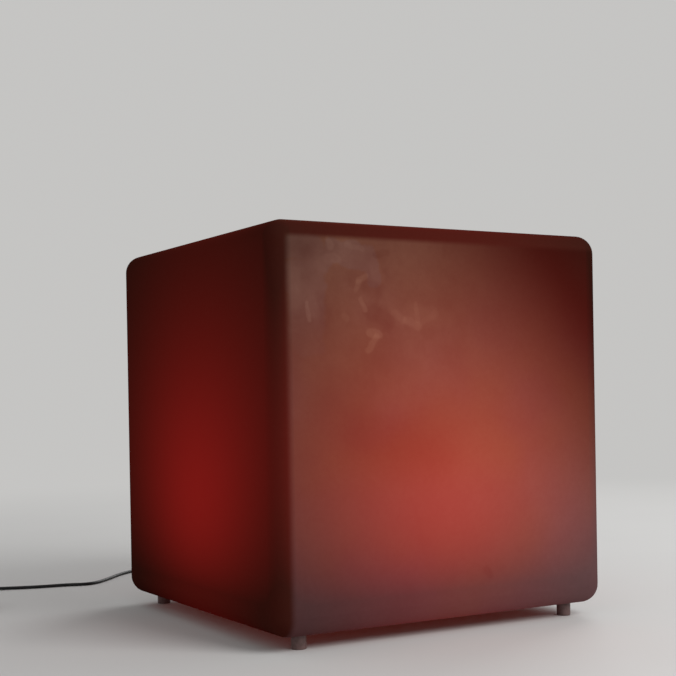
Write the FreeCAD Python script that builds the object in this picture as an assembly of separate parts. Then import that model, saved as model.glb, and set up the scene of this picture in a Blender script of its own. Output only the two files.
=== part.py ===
import FreeCAD, Part
import math
import os

# A glowing cube lamp for gardens and terraces. A hollow milky shell stands on four short feet.
# A round light unit is screwed into its underside: battery, control board, ring of coloured LEDs
# and a frosted lens. A charging lead is plugged into the unit, and leaves under the rear edge.
#
# Millimetres. The origin is on the floor under the middle of the cube, +Z is up,
# the face that looks along -Y is the front, and the lead leaves towards +Y.

os.makedirs("parts", exist_ok=True)
V = FreeCAD.Vector

# ---------------------------------------------------------------- clearances
SEAT_GAP = 0.05          # between a round piece and what carries it
THREAD_GAP = 0.05        # a screw's shank in its thread, on the radius
INSERT_GAP = 0.03        # a brass insert in the plastic round it, on the radius
HOLE_GAP = 0.25          # a screw's shank in a plain hole, on the radius
COVER_GAP = 0.3          # a cover, board or plate in the bore that it drops into
RUN_GAP = 0.3            # between flat faces that pass each other
PIVOT_GAP = 0.08         # a turning piece on its pin, on the radius
PLUNGER_GAP = 0.08       # a switch's plunger in its bore, on the radius
THREAD_ROOM = 1.0        # blind hole beyond a cover screw's end

# ---------------------------------------------------------------- screws
M4_RADIUS = 2.0
M4_HEAD_RADIUS = 3.8
M4_HEAD_HEIGHT = 2.4
M3_RADIUS = 1.5
M3_HEAD_RADIUS = 2.8
M3_HEAD_HEIGHT = 2.0
M2_RADIUS = 1.2
M2_HEAD_RADIUS = 2.2
M2_HEAD_HEIGHT = 1.6
SOCKET_SHARE = 0.5       # a driver socket's width and depth, as a share of its screw head's
INSERT_WALL = 0.75       # brass round the thread of an insert
INSERT_LENGTH = 10.0
INSERT_ROOM = 2.0        # blind hole beyond an insert
BOSS_WALL = 3.2          # plastic round an insert, and the width of a boss's rib
SMALL_BOSS_WALL = 2.4    # plastic round a small screw's thread
PAD_WALL = 1.6           # plastic round a cover screw where it passes the gasket

# ---------------------------------------------------------------- shell and feet
BODY_SIZE = 400.0        # edge of the cube
EDGE_RADIUS = 20.0       # rounding of its edges and corners
SHELL_WALL = 4.0
FOOT_HEIGHT = 14.0
FOOT_RADIUS = 7.5
FOOT_ROUNDING = 0.8
FOOT_INSET_X = 36.0      # foot axes from the body's sides, across and along
FOOT_INSET_Y = 28.0
FOOT_SCREW_DEPTH = 4.0   # how deep the screw's seat lies in the foot
FOOT_SCREW_LENGTH = 18.0

# ---------------------------------------------------------------- light unit
RECESS_DEPTH = 10.0      # pocket in the underside that holds the unit's flange
RECESS_MARGIN = 4.0      # pocket's wall to the flange's edge
PORT_MARGIN = 1.2        # shell's port to the unit's tube
HOUSING_RADIUS = 68.0
HOUSING_WALL = 3.0
FLANGE_WIDTH = 16.0
FLANGE_THICKNESS = 4.0
FLANGE_GASKET = 1.5
FLANGE_SCREWS = 6
FLANGE_SCREW_LENGTH = 14.0
LEDGE_WIDTH = 4.5        # ledge in the tube that the cover's gasket seals against
LEDGE_HEIGHT = 3.0
COVER_THICKNESS = 3.0
COVER_GASKET = 1.5
COVER_SCREWS = 4
COVER_SCREW_INSET = 11.0  # cover screws from the tube's outside
COVER_SCREW_LENGTH = 10.5
COVER_BOSS_HEIGHT = 10.0
RIM_WALL = 5.5           # tube's thick top, which carries the lens
RIM_RISE = 3.4           # rim above the LED board
SEAT_WIDTH = 6.5         # step that the LED plate sits on
SEAT_HEIGHT = 5.0

# ---------------------------------------------------------------- LEDs and lens
PLATE_THICKNESS = 2.0
LED_BOARD_THICKNESS = 1.6
PLATE_SCREWS = 3
PLATE_SCREW_LENGTH = 7.4
LED_SIZE = 5.0
LED_HEIGHT = 1.6
LED_WINDOW_RADIUS = 1.9
LED_WINDOW_DEPTH = 0.8
LED_RING_RADIUS = 14.0   # innermost ring of LEDs
LED_RING_SPACING = 17.0
LED_RING_COUNTS = (4, 8, 12)
LENS_GASKET = 1.0
LENS_FLANGE = 2.5
LENS_WALL = 2.5
LENS_RISE = 20.0
LENS_RING = 2.5
LENS_SCREWS = 6
LENS_SCREW_LENGTH = 11.0

# ---------------------------------------------------------------- battery
CELL_RADIUS = 9.2
CELL_LENGTH = 65.0
CELL_SPACING = 19.0
CELL_ROUNDING = 0.8
TRAY_CORNER_GAP = 2.17   # tray's outer corners to the ledge's bore
TRAY_BASE = 1.5
TRAY_WALL = 1.5
TRAY_SIDE_GAP = 0.3
TRAY_HEIGHT = 15.0
CONTACT_THICKNESS = 2.5
CONTACT_SIZE = 12.0
PAD_THICKNESS = 1.5
PAD_LENGTH = 40.0
CELL_WIRE_RADIUS = 0.8
CELL_WIRE_SPACING = 5.0

# ---------------------------------------------------------------- control board
BOARD_TRAY_GAP = 4.5     # tray to the board's near edge
BOARD_EDGE_GAP = 7.8     # board's far corners to the tube's bore
BOARD_HALF_LENGTH = 34.0
BOARD_THICKNESS = 1.6
BOARD_STANDOFF = 9.5     # board's underside above the cover
POST_RADIUS = 2.6
POST_INSET = 4.0
POST_SCREW_LENGTH = 6.0
CHIP_SIZE = 9.0
CHIP_HEIGHT = 1.4
CHIP_PLACES = (-0.25, 0.33)  # along the board, as shares of its half length
COIL_RADIUS = 4.5        # power inductor
COIL_HEIGHT = 4.5
COIL_PLACE = -0.7
CAPACITOR_RADIUS = 3.2
CAPACITOR_HEIGHT = 7.0
CAPACITOR_GAP = 1.0
CAPACITOR_PLACE = 0.78
HEADER_WIDTH = 10.0
HEADER_DEPTH = 5.0
HEADER_HEIGHT = 3.6
HEADER_INSET = 1.0       # battery header from the board's near edge
LED_WIRES_INSET = 6.0    # LED wires from the board's far edge
LED_WIRES_Y = 6.0
LED_WIRE_RADIUS = 0.6
LED_WIRE_SPACING = 2.2
LED_WIRE_COUNT = 4

# ---------------------------------------------------------------- jack, button, status light
JACK_INSET = 10.0        # jack's axis from the board's near edge
JACK_Y = 20.0
JACK_BODY = 11.0         # side of its square body
JACK_NECK_RADIUS = 4.6
JACK_BORE_RADIUS = 2.8
JACK_BORE_DEPTH = 10.5
JACK_PIN_RADIUS = 1.0
JACK_PIN_LENGTH = 9.0
BUTTON_INSET = 24.0      # button's axis from the board's near edge
BUTTON_Y = -14.0
BUTTON_RADIUS = 6.0
BUTTON_PROUD = 1.2       # how far the button stands out of the cover
BUTTON_TRAVEL = 1.0
BUTTON_LIP = 1.6         # lip that keeps the button in
BUTTON_LIP_THICKNESS = 1.2
BUTTON_DISH = 0.5        # hollow in the button's face
BUTTON_DISH_RADIUS = 18.0
BUTTON_ROUNDING = 0.5
PLUNGER_RADIUS = 1.75
PLUNGER_LENGTH = 4.2
PLUNGER_ENTRY = 1.7      # how far the plunger stands in the switch at rest
SWITCH_SIZE = 7.5
SWITCH_HEIGHT = 3.5
LIGHT_INSET = 10.0       # light pipe's axis from the board's near edge
LIGHT_Y = -6.0
LIGHT_RADIUS = 1.5
LIGHT_COLLAR = 0.9
STATUS_LED_SIZE = 3.0
STATUS_LED_HEIGHT = 1.2

# ---------------------------------------------------------------- swivelling cover of the jack
PORT_COVER_ARM = 17.0    # pivot to the middle of the disc, and to the jack
PORT_COVER_RADIUS = 7.0
PORT_COVER_THICKNESS = 1.9
PORT_COVER_HUB = 4.2
PORT_COVER_ARM_WIDTH = 6.7
PIVOT_SHOULDER_RADIUS = 2.0
PIVOT_HEAD_RADIUS = 3.6
PIVOT_HEAD_HEIGHT = 1.8
PIVOT_SLOT_WIDTH = 1.4
PIVOT_THREAD_LENGTH = 7.5
PIVOT_BOSS_HEIGHT = 6.0

# ---------------------------------------------------------------- charging lead
LEAD_RADIUS = 2.0
FLOOR_GAP = 0.1          # lead's underside above the floor
PLUG_HEAD_RADIUS = 5.5
PLUG_ROUNDING = 1.0
PLUG_ARM_RADIUS = 3.8
PLUG_ARM_LENGTH = 20.0   # jack's axis to the end of the plug's arm
PLUG_DROP = 7.5          # unit's face down to the arm's axis
BARREL_RADIUS = 2.75
BARREL_BORE_RADIUS = 1.1
BARREL_LENGTH = 9.5
RELIEF_LENGTH = 20.0
RELIEF_ROOT_RADIUS = 3.4
RELIEF_TIP_RADIUS = 2.5
RELIEF_GROOVES = 4
RELIEF_GROOVE_WIDTH = 1.4
RELIEF_GROOVE_DEPTH = 0.6
COIL_X = -352.0          # middle of the coil that the unused length is wound into
COIL_Y = 376.0
COIL_START_RADIUS = 27.6
COIL_LEAD_IN = 4.0       # straight run before the first turn and after the last
TURN_GAP = 0.5           # between turns that lie beside or on each other
HALF_TURNS_IN = 5
HALF_TURNS_OUT = 4
TIE_WIDTH = 7.0
TIE_THICKNESS = 0.8
TIE_TAB = 9.0            # free end of the tie
TIE_TAB_INSET = 0.5
TAIL_COIL_RUN = 15.5     # tail's bends from the coil and from the adapter's sleeve
TAIL_ADAPTER_RUN = 16.0

# ---------------------------------------------------------------- wall adapter
ADAPTER_LENGTH = 60.0
ADAPTER_WIDTH = 38.0
ADAPTER_HEIGHT = 30.0
ADAPTER_WALL = 2.0
ADAPTER_ROUNDING = 3.0
ADAPTER_X = -372.0
ADAPTER_END_Y = 302.0    # its end face, which the lead goes into
ADAPTER_RELIEF_LENGTH = 18.0
ADAPTER_PIN_RADIUS = 2.0
ADAPTER_PIN_SPACING = 19.0
ADAPTER_PIN_LENGTH = 19.0
ADAPTER_PIN_INSIDE = 5.0
ADAPTER_BOARD_INSET = 4.0
ADAPTER_BOARD_THICKNESS = 1.6
ADAPTER_POST_RADIUS = 2.2
ADAPTER_POST_HEIGHT = 6.0
ADAPTER_POST_INSET = 5.0
TRANSFORMER_LENGTH = 17.0
TRANSFORMER_WIDTH = 20.0
TRANSFORMER_HEIGHT = 13.0
SMOOTHING_RADIUS = 4.5
SMOOTHING_HEIGHT = 12.0
SMOOTHING_GAP = 2.0

# ---------------------------------------------------------------- heights worked out from these
SHELL_BOTTOM = FOOT_HEIGHT
RECESS_TOP = SHELL_BOTTOM + RECESS_DEPTH
FLANGE_TOP = RECESS_TOP - FLANGE_GASKET
UNIT_FACE = FLANGE_TOP - FLANGE_THICKNESS
COVER_TOP = UNIT_FACE + COVER_THICKNESS
LEDGE_LOW = COVER_TOP + COVER_GASKET
BOARD_LOW = COVER_TOP + BOARD_STANDOFF
BOARD_TOP = BOARD_LOW + BOARD_THICKNESS
TRAY_FLOOR = COVER_TOP + TRAY_BASE
CELL_AXIS = TRAY_FLOOR + SEAT_GAP + CELL_RADIUS
PAD_LOW = CELL_AXIS + CELL_RADIUS + SEAT_GAP
PLATE_LOW = PAD_LOW + PAD_THICKNESS
LED_BOARD_LOW = PLATE_LOW + PLATE_THICKNESS
LED_BOARD_TOP = LED_BOARD_LOW + LED_BOARD_THICKNESS
HOUSING_TOP = LED_BOARD_TOP + RIM_RISE
LENS_LOW = HOUSING_TOP + LENS_GASKET
LENS_SEAT = LENS_LOW + LENS_FLANGE
LENS_RING_TOP = LENS_SEAT + LENS_RING

# ---------------------------------------------------------------- radii worked out from these
HOUSING_BORE = HOUSING_RADIUS - HOUSING_WALL
LEDGE_BORE = HOUSING_BORE - LEDGE_WIDTH
PORT_RADIUS = HOUSING_RADIUS + PORT_MARGIN
FLANGE_RADIUS = HOUSING_RADIUS + FLANGE_WIDTH
RECESS_RADIUS = FLANGE_RADIUS + RECESS_MARGIN
FLANGE_SCREW_CIRCLE = (PORT_RADIUS + FLANGE_RADIUS) / 2
RIM_BORE = HOUSING_RADIUS - RIM_WALL
SEAT_BORE = RIM_BORE - SEAT_WIDTH
PLATE_RADIUS = RIM_BORE - COVER_GAP
PLATE_SCREW_CIRCLE = (SEAT_BORE + RIM_BORE) / 2
LENS_SCREW_CIRCLE = HOUSING_RADIUS - RIM_WALL / 2
COVER_SCREW_CIRCLE = HOUSING_RADIUS - COVER_SCREW_INSET
COVER_RADIUS = HOUSING_BORE - COVER_GAP

# ---------------------------------------------------------------- places worked out from these
FOOT_X = BODY_SIZE / 2 - FOOT_INSET_X
FOOT_Y = BODY_SIZE / 2 - FOOT_INSET_Y
TRAY_HALF_LENGTH = CELL_LENGTH / 2 + CONTACT_THICKNESS
TRAY_INNER_WIDTH = CELL_SPACING + 2 * (CELL_RADIUS + TRAY_SIDE_GAP)
TRAY_LOW_X = TRAY_WALL - math.sqrt(
    (LEDGE_BORE - TRAY_CORNER_GAP) ** 2 - (TRAY_HALF_LENGTH + TRAY_WALL) ** 2
)
TRAY_HIGH_X = TRAY_LOW_X + TRAY_INNER_WIDTH
CELLS_X = (TRAY_LOW_X + TRAY_HIGH_X) / 2
BOARD_LOW_X = TRAY_HIGH_X + TRAY_WALL + BOARD_TRAY_GAP
BOARD_HIGH_X = math.sqrt((HOUSING_BORE - BOARD_EDGE_GAP) ** 2 - BOARD_HALF_LENGTH ** 2)
LED_WIRES_X = BOARD_HIGH_X - LED_WIRES_INSET
JACK_X = BOARD_LOW_X + JACK_INSET
BUTTON_X = BOARD_LOW_X + BUTTON_INSET
LIGHT_X = BOARD_LOW_X + LIGHT_INSET
PIVOT_X = JACK_X + PORT_COVER_ARM
PIVOT_Y = JACK_Y


def block(x_low, x_high, y_low, y_high, z_low, z_high):
    return Part.makeBox(x_high - x_low, y_high - y_low, z_high - z_low, V(x_low, y_low, z_low))


def cylinder(radius, low, high, x=0.0, y=0.0):
    return Part.makeCylinder(radius, high - low, V(x, y, low))


def ring(outer, inner, low, high, x=0.0, y=0.0):
    return cylinder(outer, low, high, x, y).cut(cylinder(inner, low, high, x, y))


def rod_along_y(radius, y_low, y_high, x, z):
    return Part.makeCylinder(radius, y_high - y_low, V(x, y_low, z), V(0, 1, 0))


def around(radius, count, first_degrees=0.0):
    """Places evenly spaced on a circle round the lamp's middle."""
    angles = [math.radians(first_degrees + 360.0 * k / count) for k in range(count)]
    return [(radius * math.cos(a), radius * math.sin(a)) for a in angles]


def joined(shapes):
    return shapes[0].fuse(shapes[1:]).removeSplitter()


def edges_at(shape, z):
    """The edges that lie flat at the height z."""
    flat = [e for e in shape.Edges if e.BoundBox.ZLength < SEAT_GAP]
    return [e for e in flat if abs(e.BoundBox.ZMin - z) < SEAT_GAP]


def drilled(shape, radius, low, high, places):
    return shape.cut([cylinder(radius, low, high, x, y) for x, y in places])


def save(name, *solids):
    shape = solids[0] if len(solids) == 1 else Part.makeCompound(list(solids))
    shape.exportStep(f"parts/{name}.step")


def screw(x, y, seat, length, radius, head_radius, head_height, up=1):
    """A screw whose head bears on the height seat. up is 1 where it is driven upwards, or -1."""
    axis = V(0, 0, up)
    shank = Part.makeCylinder(radius, length, V(x, y, seat), axis)
    head = Part.makeCylinder(head_radius, head_height, V(x, y, seat), axis.negative())
    width = head_radius * SOCKET_SHARE
    corners = [V(x + dx, y + dy, seat - up * head_height) for dx, dy in around(width, 6)]
    hexagon = Part.Face(Part.makePolygon(corners + corners[:1]))
    socket = hexagon.extrude(axis.multiply(head_height * SOCKET_SHARE))
    return joined([head, shank]).cut(socket)


def insert(x, y, low):
    bore = M4_RADIUS + THREAD_GAP
    return ring(bore + INSERT_WALL, bore, low, low + INSERT_LENGTH, x, y)


def with_insert_bosses(shape, places, low, wall_top):
    """Adds a boss above the wall at each place, and its blind hole for an insert from low."""
    radius = M4_RADIUS + THREAD_GAP + INSERT_WALL + INSERT_GAP
    hole_top = low + INSERT_LENGTH + INSERT_ROOM
    bosses = [cylinder(radius + BOSS_WALL, wall_top, hole_top + BOSS_WALL, x, y) for x, y in places]
    return drilled(joined([shape] + bosses), radius, low, hole_top, places)


# ================================================================ shell and feet
FEET = {
    "foot_front_left": (-FOOT_X, -FOOT_Y),
    "foot_front_right": (FOOT_X, -FOOT_Y),
    "foot_rear_left": (-FOOT_X, FOOT_Y),
    "foot_rear_right": (FOOT_X, FOOT_Y),
}


def rounded_cube(size, radius, low):
    cube = Part.makeBox(size, size, size, V(-size / 2, -size / 2, low))
    return cube.makeFillet(radius, cube.Edges)


def make_shell():
    """One hollow moulding, with the pocket and port for the light unit in its underside."""
    outside = rounded_cube(BODY_SIZE, EDGE_RADIUS, SHELL_BOTTOM)
    inner_size = BODY_SIZE - 2 * SHELL_WALL
    inside = rounded_cube(inner_size, EDGE_RADIUS - SHELL_WALL, SHELL_BOTTOM + SHELL_WALL)
    wall_top = RECESS_TOP + SHELL_WALL
    pocket_wall = cylinder(RECESS_RADIUS + SHELL_WALL, SHELL_BOTTOM, wall_top)
    shell = joined([outside.cut(inside), pocket_wall])
    pocket = cylinder(RECESS_RADIUS, SHELL_BOTTOM, RECESS_TOP)
    port = cylinder(PORT_RADIUS, RECESS_TOP, wall_top)
    shell = shell.cut([pocket, port])
    flange_screws = around(FLANGE_SCREW_CIRCLE, FLANGE_SCREWS)
    shell = with_insert_bosses(shell, flange_screws, RECESS_TOP, RECESS_TOP)
    return with_insert_bosses(shell, list(FEET.values()), SHELL_BOTTOM, SHELL_BOTTOM)


def make_foot(x, y):
    foot = cylinder(FOOT_RADIUS, 0, FOOT_HEIGHT, x, y)
    foot = foot.makeFillet(FOOT_ROUNDING, edges_at(foot, 0))
    well = cylinder(M4_HEAD_RADIUS + COVER_GAP, 0, FOOT_SCREW_DEPTH, x, y)
    return foot.cut([well, cylinder(M4_RADIUS + HOLE_GAP, 0, FOOT_HEIGHT, x, y)])


save("cube_shell", make_shell())
for name, (x, y) in FEET.items():
    save(name, make_foot(x, y))
save("foot_inserts", *[insert(x, y, SHELL_BOTTOM) for x, y in FEET.values()])
save("foot_screws", *[
    screw(x, y, FOOT_SCREW_DEPTH, FOOT_SCREW_LENGTH, M4_RADIUS, M4_HEAD_RADIUS, M4_HEAD_HEIGHT)
    for x, y in FEET.values()
])

# ================================================================ light unit's housing
flange_places = around(FLANGE_SCREW_CIRCLE, FLANGE_SCREWS)
cover_places = around(COVER_SCREW_CIRCLE, COVER_SCREWS)
plate_places = around(PLATE_SCREW_CIRCLE, PLATE_SCREWS, 90.0)
lens_places = around(LENS_SCREW_CIRCLE, LENS_SCREWS, 30.0)


def make_housing():
    """A tube with a flange at its foot, a ledge for the cover and a thick rim for LEDs and lens."""
    tube = ring(HOUSING_RADIUS, HOUSING_BORE, UNIT_FACE, PLATE_LOW)
    flange = ring(FLANGE_RADIUS, HOUSING_BORE, UNIT_FACE, FLANGE_TOP)
    ledge = ring(HOUSING_RADIUS, LEDGE_BORE, LEDGE_LOW, LEDGE_LOW + LEDGE_HEIGHT)
    seat = ring(HOUSING_RADIUS, SEAT_BORE, PLATE_LOW - SEAT_HEIGHT, PLATE_LOW)
    rim = ring(HOUSING_RADIUS, RIM_BORE, PLATE_LOW, HOUSING_TOP)
    boss_radius = M3_RADIUS + THREAD_GAP + SMALL_BOSS_WALL
    rib_length = COVER_SCREW_INSET - HOUSING_WALL / 2
    rib_half = BOSS_WALL / 2
    bosses = []
    for x, y in cover_places:
        boss = cylinder(boss_radius, LEDGE_LOW, LEDGE_LOW + COVER_BOSS_HEIGHT, x, y)
        rib = block(0, rib_length, -rib_half, rib_half, 0, COVER_BOSS_HEIGHT)
        rib.rotate(V(0, 0, 0), V(0, 0, 1), math.degrees(math.atan2(y, x)))
        rib.translate(V(x, y, LEDGE_LOW))
        bosses += [boss, rib]
    housing = joined([tube, flange, ledge, seat, rim] + bosses)
    housing = drilled(housing, M4_RADIUS + HOLE_GAP, UNIT_FACE, FLANGE_TOP, flange_places)
    cover_hole_top = UNIT_FACE + COVER_SCREW_LENGTH + THREAD_ROOM
    housing = drilled(housing, M3_RADIUS + THREAD_GAP, LEDGE_LOW, cover_hole_top, cover_places)
    plate_hole_low = LED_BOARD_TOP - PLATE_SCREW_LENGTH - SEAT_GAP
    housing = drilled(housing, M2_RADIUS + THREAD_GAP, plate_hole_low, PLATE_LOW, plate_places)
    lens_hole_low = LENS_RING_TOP - LENS_SCREW_LENGTH - SEAT_GAP
    return drilled(housing, M2_RADIUS + THREAD_GAP, lens_hole_low, HOUSING_TOP, lens_places)


def make_flange_gasket():
    gasket = ring(FLANGE_RADIUS - RUN_GAP, PORT_RADIUS + RUN_GAP, FLANGE_TOP, RECESS_TOP)
    return drilled(gasket, M4_RADIUS + HOLE_GAP, FLANGE_TOP, RECESS_TOP, flange_places)


save("unit_housing", make_housing())
save("flange_gasket", make_flange_gasket())
save("flange_inserts", *[insert(x, y, RECESS_TOP) for x, y in flange_places])
save("flange_screws", *[
    screw(x, y, UNIT_FACE, FLANGE_SCREW_LENGTH, M4_RADIUS, M4_HEAD_RADIUS, M4_HEAD_HEIGHT)
    for x, y in flange_places
])

# ================================================================ bottom cover
post_places = [
    (x, y)
    for x in (BOARD_LOW_X + POST_INSET, BOARD_HIGH_X - POST_INSET)
    for y in (-BOARD_HALF_LENGTH + POST_INSET, BOARD_HALF_LENGTH - POST_INSET)
]


def make_cover():
    """The round cover under the unit. It carries the board and has the jack, button and light in it."""
    disc = cylinder(COVER_RADIUS, UNIT_FACE, COVER_TOP)
    pads = [cylinder(M3_RADIUS + PAD_WALL, COVER_TOP, LEDGE_LOW, x, y) for x, y in cover_places]
    posts = [cylinder(POST_RADIUS, COVER_TOP, BOARD_LOW, x, y) for x, y in post_places]
    pivot_top = COVER_TOP + PIVOT_BOSS_HEIGHT
    pivot_boss = cylinder(M2_RADIUS + SMALL_BOSS_WALL, COVER_TOP, pivot_top, PIVOT_X, PIVOT_Y)
    cover = joined([disc, pivot_boss] + pads + posts)
    cover = drilled(cover, M3_RADIUS + HOLE_GAP, UNIT_FACE, LEDGE_LOW, cover_places)
    thread_low = BOARD_TOP - POST_SCREW_LENGTH - SEAT_GAP
    cover = drilled(cover, M2_RADIUS + THREAD_GAP, thread_low, BOARD_LOW, post_places)
    thread_top = UNIT_FACE + PIVOT_THREAD_LENGTH + SEAT_GAP
    return cover.cut([
        cylinder(M2_RADIUS + THREAD_GAP, UNIT_FACE, thread_top, PIVOT_X, PIVOT_Y),
        cylinder(JACK_NECK_RADIUS + HOLE_GAP, UNIT_FACE, COVER_TOP, JACK_X, JACK_Y),
        cylinder(BUTTON_RADIUS + RUN_GAP, UNIT_FACE, COVER_TOP, BUTTON_X, BUTTON_Y),
        cylinder(LIGHT_RADIUS + SEAT_GAP, UNIT_FACE, COVER_TOP, LIGHT_X, LIGHT_Y),
    ])


save("bottom_cover", make_cover())
save("cover_gasket", ring(HOUSING_BORE - RUN_GAP, LEDGE_BORE + RUN_GAP, COVER_TOP, LEDGE_LOW))
save("cover_screws", *[
    screw(x, y, UNIT_FACE, COVER_SCREW_LENGTH, M3_RADIUS, M3_HEAD_RADIUS, M3_HEAD_HEIGHT)
    for x, y in cover_places
])

# ================================================================ LEDs and lens
led_places = [
    place
    for k, count in enumerate(LED_RING_COUNTS)
    for place in around(LED_RING_RADIUS + k * LED_RING_SPACING, count, 180.0 / count)
]
header_x = (LED_WIRES_X - HEADER_DEPTH / 2, LED_WIRES_X + HEADER_DEPTH / 2)
header_y = (LED_WIRES_Y - HEADER_WIDTH / 2, LED_WIRES_Y + HEADER_WIDTH / 2)


def drilled_disc(low, high):
    """A disc that lies on the housing's seat, with its three screw holes."""
    return drilled(cylinder(PLATE_RADIUS, low, high), M2_RADIUS + HOLE_GAP, low, high, plate_places)


def lens_land(low, high):
    """A flat ring on the lens's rim, drilled for the lens screws."""
    land = ring(HOUSING_RADIUS - SEAT_GAP, RIM_BORE + RUN_GAP, low, high)
    return drilled(land, M2_RADIUS + HOLE_GAP, low, high, lens_places)


def make_plate():
    """An aluminium disc that takes the LEDs' heat to the housing, with a slot for their wires."""
    return drilled_disc(PLATE_LOW, LED_BOARD_LOW).cut(block(
        header_x[0] - RUN_GAP, header_x[1] + RUN_GAP, header_y[0] - RUN_GAP, header_y[1] + RUN_GAP,
        PLATE_LOW, LED_BOARD_LOW,
    ))


def make_led(x, y):
    """A square package with a round window of clear resin."""
    half = LED_SIZE / 2
    top = LED_BOARD_TOP + LED_HEIGHT
    body = block(x - half, x + half, y - half, y + half, LED_BOARD_TOP, top)
    return body.cut(cylinder(LED_WINDOW_RADIUS, top - LED_WINDOW_DEPTH, top, x, y))


def make_lens():
    """A shallow frosted dome with a flange, turned from one outline."""
    flange_radius = HOUSING_RADIUS - SEAT_GAP
    dome_radius = RIM_BORE - LENS_WALL / 2
    sphere = (dome_radius ** 2 + LENS_RISE ** 2) / (2 * LENS_RISE)
    middle = LENS_SEAT + LENS_RISE - sphere
    inner = sphere - LENS_WALL

    def on_sphere(radius, z):
        return V(math.sqrt(radius ** 2 - (z - middle) ** 2), 0, z)

    def arc(radius, start, end):
        halfway = (start.z + end.z) / 2
        return Part.Arc(start, on_sphere(radius, halfway), end).toShape()

    outer_foot = V(dome_radius, 0, LENS_SEAT)
    outer_top = V(0, 0, middle + sphere)
    inner_top = V(0, 0, middle + inner)
    inner_foot = on_sphere(inner, LENS_LOW)
    flange_low = V(flange_radius, 0, LENS_LOW)
    flange_top = V(flange_radius, 0, LENS_SEAT)
    outline = Part.Wire([
        Part.makeLine(inner_foot, flange_low),
        Part.makeLine(flange_low, flange_top),
        Part.makeLine(flange_top, outer_foot),
        arc(sphere, outer_foot, outer_top),
        Part.makeLine(outer_top, inner_top),
        arc(inner, inner_top, inner_foot),
    ])
    lens = Part.Face(outline).revolve(V(0, 0, 0), V(0, 0, 1), 360)
    return drilled(lens, M2_RADIUS + HOLE_GAP, LENS_LOW, LENS_SEAT, lens_places)


save("led_plate", make_plate())
save("led_board", drilled_disc(LED_BOARD_LOW, LED_BOARD_TOP))
save("leds", *[make_led(x, y) for x, y in led_places])
save("plate_screws", *[
    screw(x, y, LED_BOARD_TOP, PLATE_SCREW_LENGTH, M2_RADIUS, M2_HEAD_RADIUS, M2_HEAD_HEIGHT, up=-1)
    for x, y in plate_places
])
save("lens_gasket", lens_land(HOUSING_TOP, LENS_LOW))
save("dome_lens", make_lens())
save("lens_ring", lens_land(LENS_SEAT, LENS_RING_TOP))
save("lens_screws", *[
    screw(x, y, LENS_RING_TOP, LENS_SCREW_LENGTH, M2_RADIUS, M2_HEAD_RADIUS, M2_HEAD_HEIGHT, up=-1)
    for x, y in lens_places
])

# ================================================================ battery
cell_axes = (CELLS_X - CELL_SPACING / 2, CELLS_X + CELL_SPACING / 2)
cell_wires_y = -BOARD_HALF_LENGTH / 2
cell_wire_z = BOARD_TOP + HEADER_HEIGHT / 2


def make_tray():
    top = COVER_TOP + TRAY_HEIGHT
    half = TRAY_HALF_LENGTH
    w = TRAY_WALL
    outer = block(TRAY_LOW_X - w, TRAY_HIGH_X + w, -half - w, half + w, COVER_TOP, top)
    return outer.cut(block(TRAY_LOW_X, TRAY_HIGH_X, -half, half, TRAY_FLOOR, top))


def make_contact(x, side):
    half = CONTACT_SIZE / 2
    near = CELL_LENGTH / 2
    y_low, y_high = sorted((side * near, side * TRAY_HALF_LENGTH))
    return block(x - half, x + half, y_low, y_high, CELL_AXIS - half, CELL_AXIS + half)


def make_cell(x):
    """A round cell in its sleeve, with rounded ends."""
    cell = rod_along_y(CELL_RADIUS, -CELL_LENGTH / 2, CELL_LENGTH / 2, x, CELL_AXIS)
    return cell.makeFillet(CELL_ROUNDING, [e for e in cell.Edges if e.BoundBox.YLength < SEAT_GAP])


def make_pad():
    """A strip of foam between the cells and the plate above them."""
    x_low = cell_axes[0] - CELL_RADIUS / 2
    x_high = cell_axes[1] + CELL_RADIUS / 2
    return block(x_low, x_high, -PAD_LENGTH / 2, PAD_LENGTH / 2, PAD_LOW, PLATE_LOW)


save("battery_tray", make_tray())
save("battery_cells", *[make_cell(x) for x in cell_axes])
save("battery_contacts", *[make_contact(x, side) for x in cell_axes for side in (-1, 1)])
save("battery_pad", make_pad())

# ================================================================ control board
battery_header = (BOARD_LOW_X + HEADER_INSET, BOARD_LOW_X + HEADER_INSET + HEADER_DEPTH)

# The button pushes the switch's plunger: its lip rests on the cover, and its stem meets the plunger.
button_face = UNIT_FACE - BUTTON_PROUD
lip_low = COVER_TOP + RUN_GAP
lip_top = lip_low + BUTTON_LIP_THICKNESS
switch_low = BOARD_LOW - SWITCH_HEIGHT
plunger_top = switch_low + PLUNGER_ENTRY
plunger_low = plunger_top - PLUNGER_LENGTH
jack_bore_top = UNIT_FACE + JACK_BORE_DEPTH
status_led_low = BOARD_LOW - STATUS_LED_HEIGHT


def square(x, y, side, low, high):
    half = side / 2
    return block(x - half, x + half, y - half, y + half, low, high)


def make_switch():
    body = square(BUTTON_X, BUTTON_Y, SWITCH_SIZE, switch_low, BOARD_LOW)
    bore_top = plunger_top + BUTTON_TRAVEL + PLUNGER_GAP
    return body.cut(cylinder(PLUNGER_RADIUS + PLUNGER_GAP, switch_low, bore_top, BUTTON_X, BUTTON_Y))


def make_board():
    board = block(BOARD_LOW_X, BOARD_HIGH_X, -BOARD_HALF_LENGTH, BOARD_HALF_LENGTH, BOARD_LOW, BOARD_TOP)
    return drilled(board, M2_RADIUS + HOLE_GAP, BOARD_LOW, BOARD_TOP, post_places)


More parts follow.
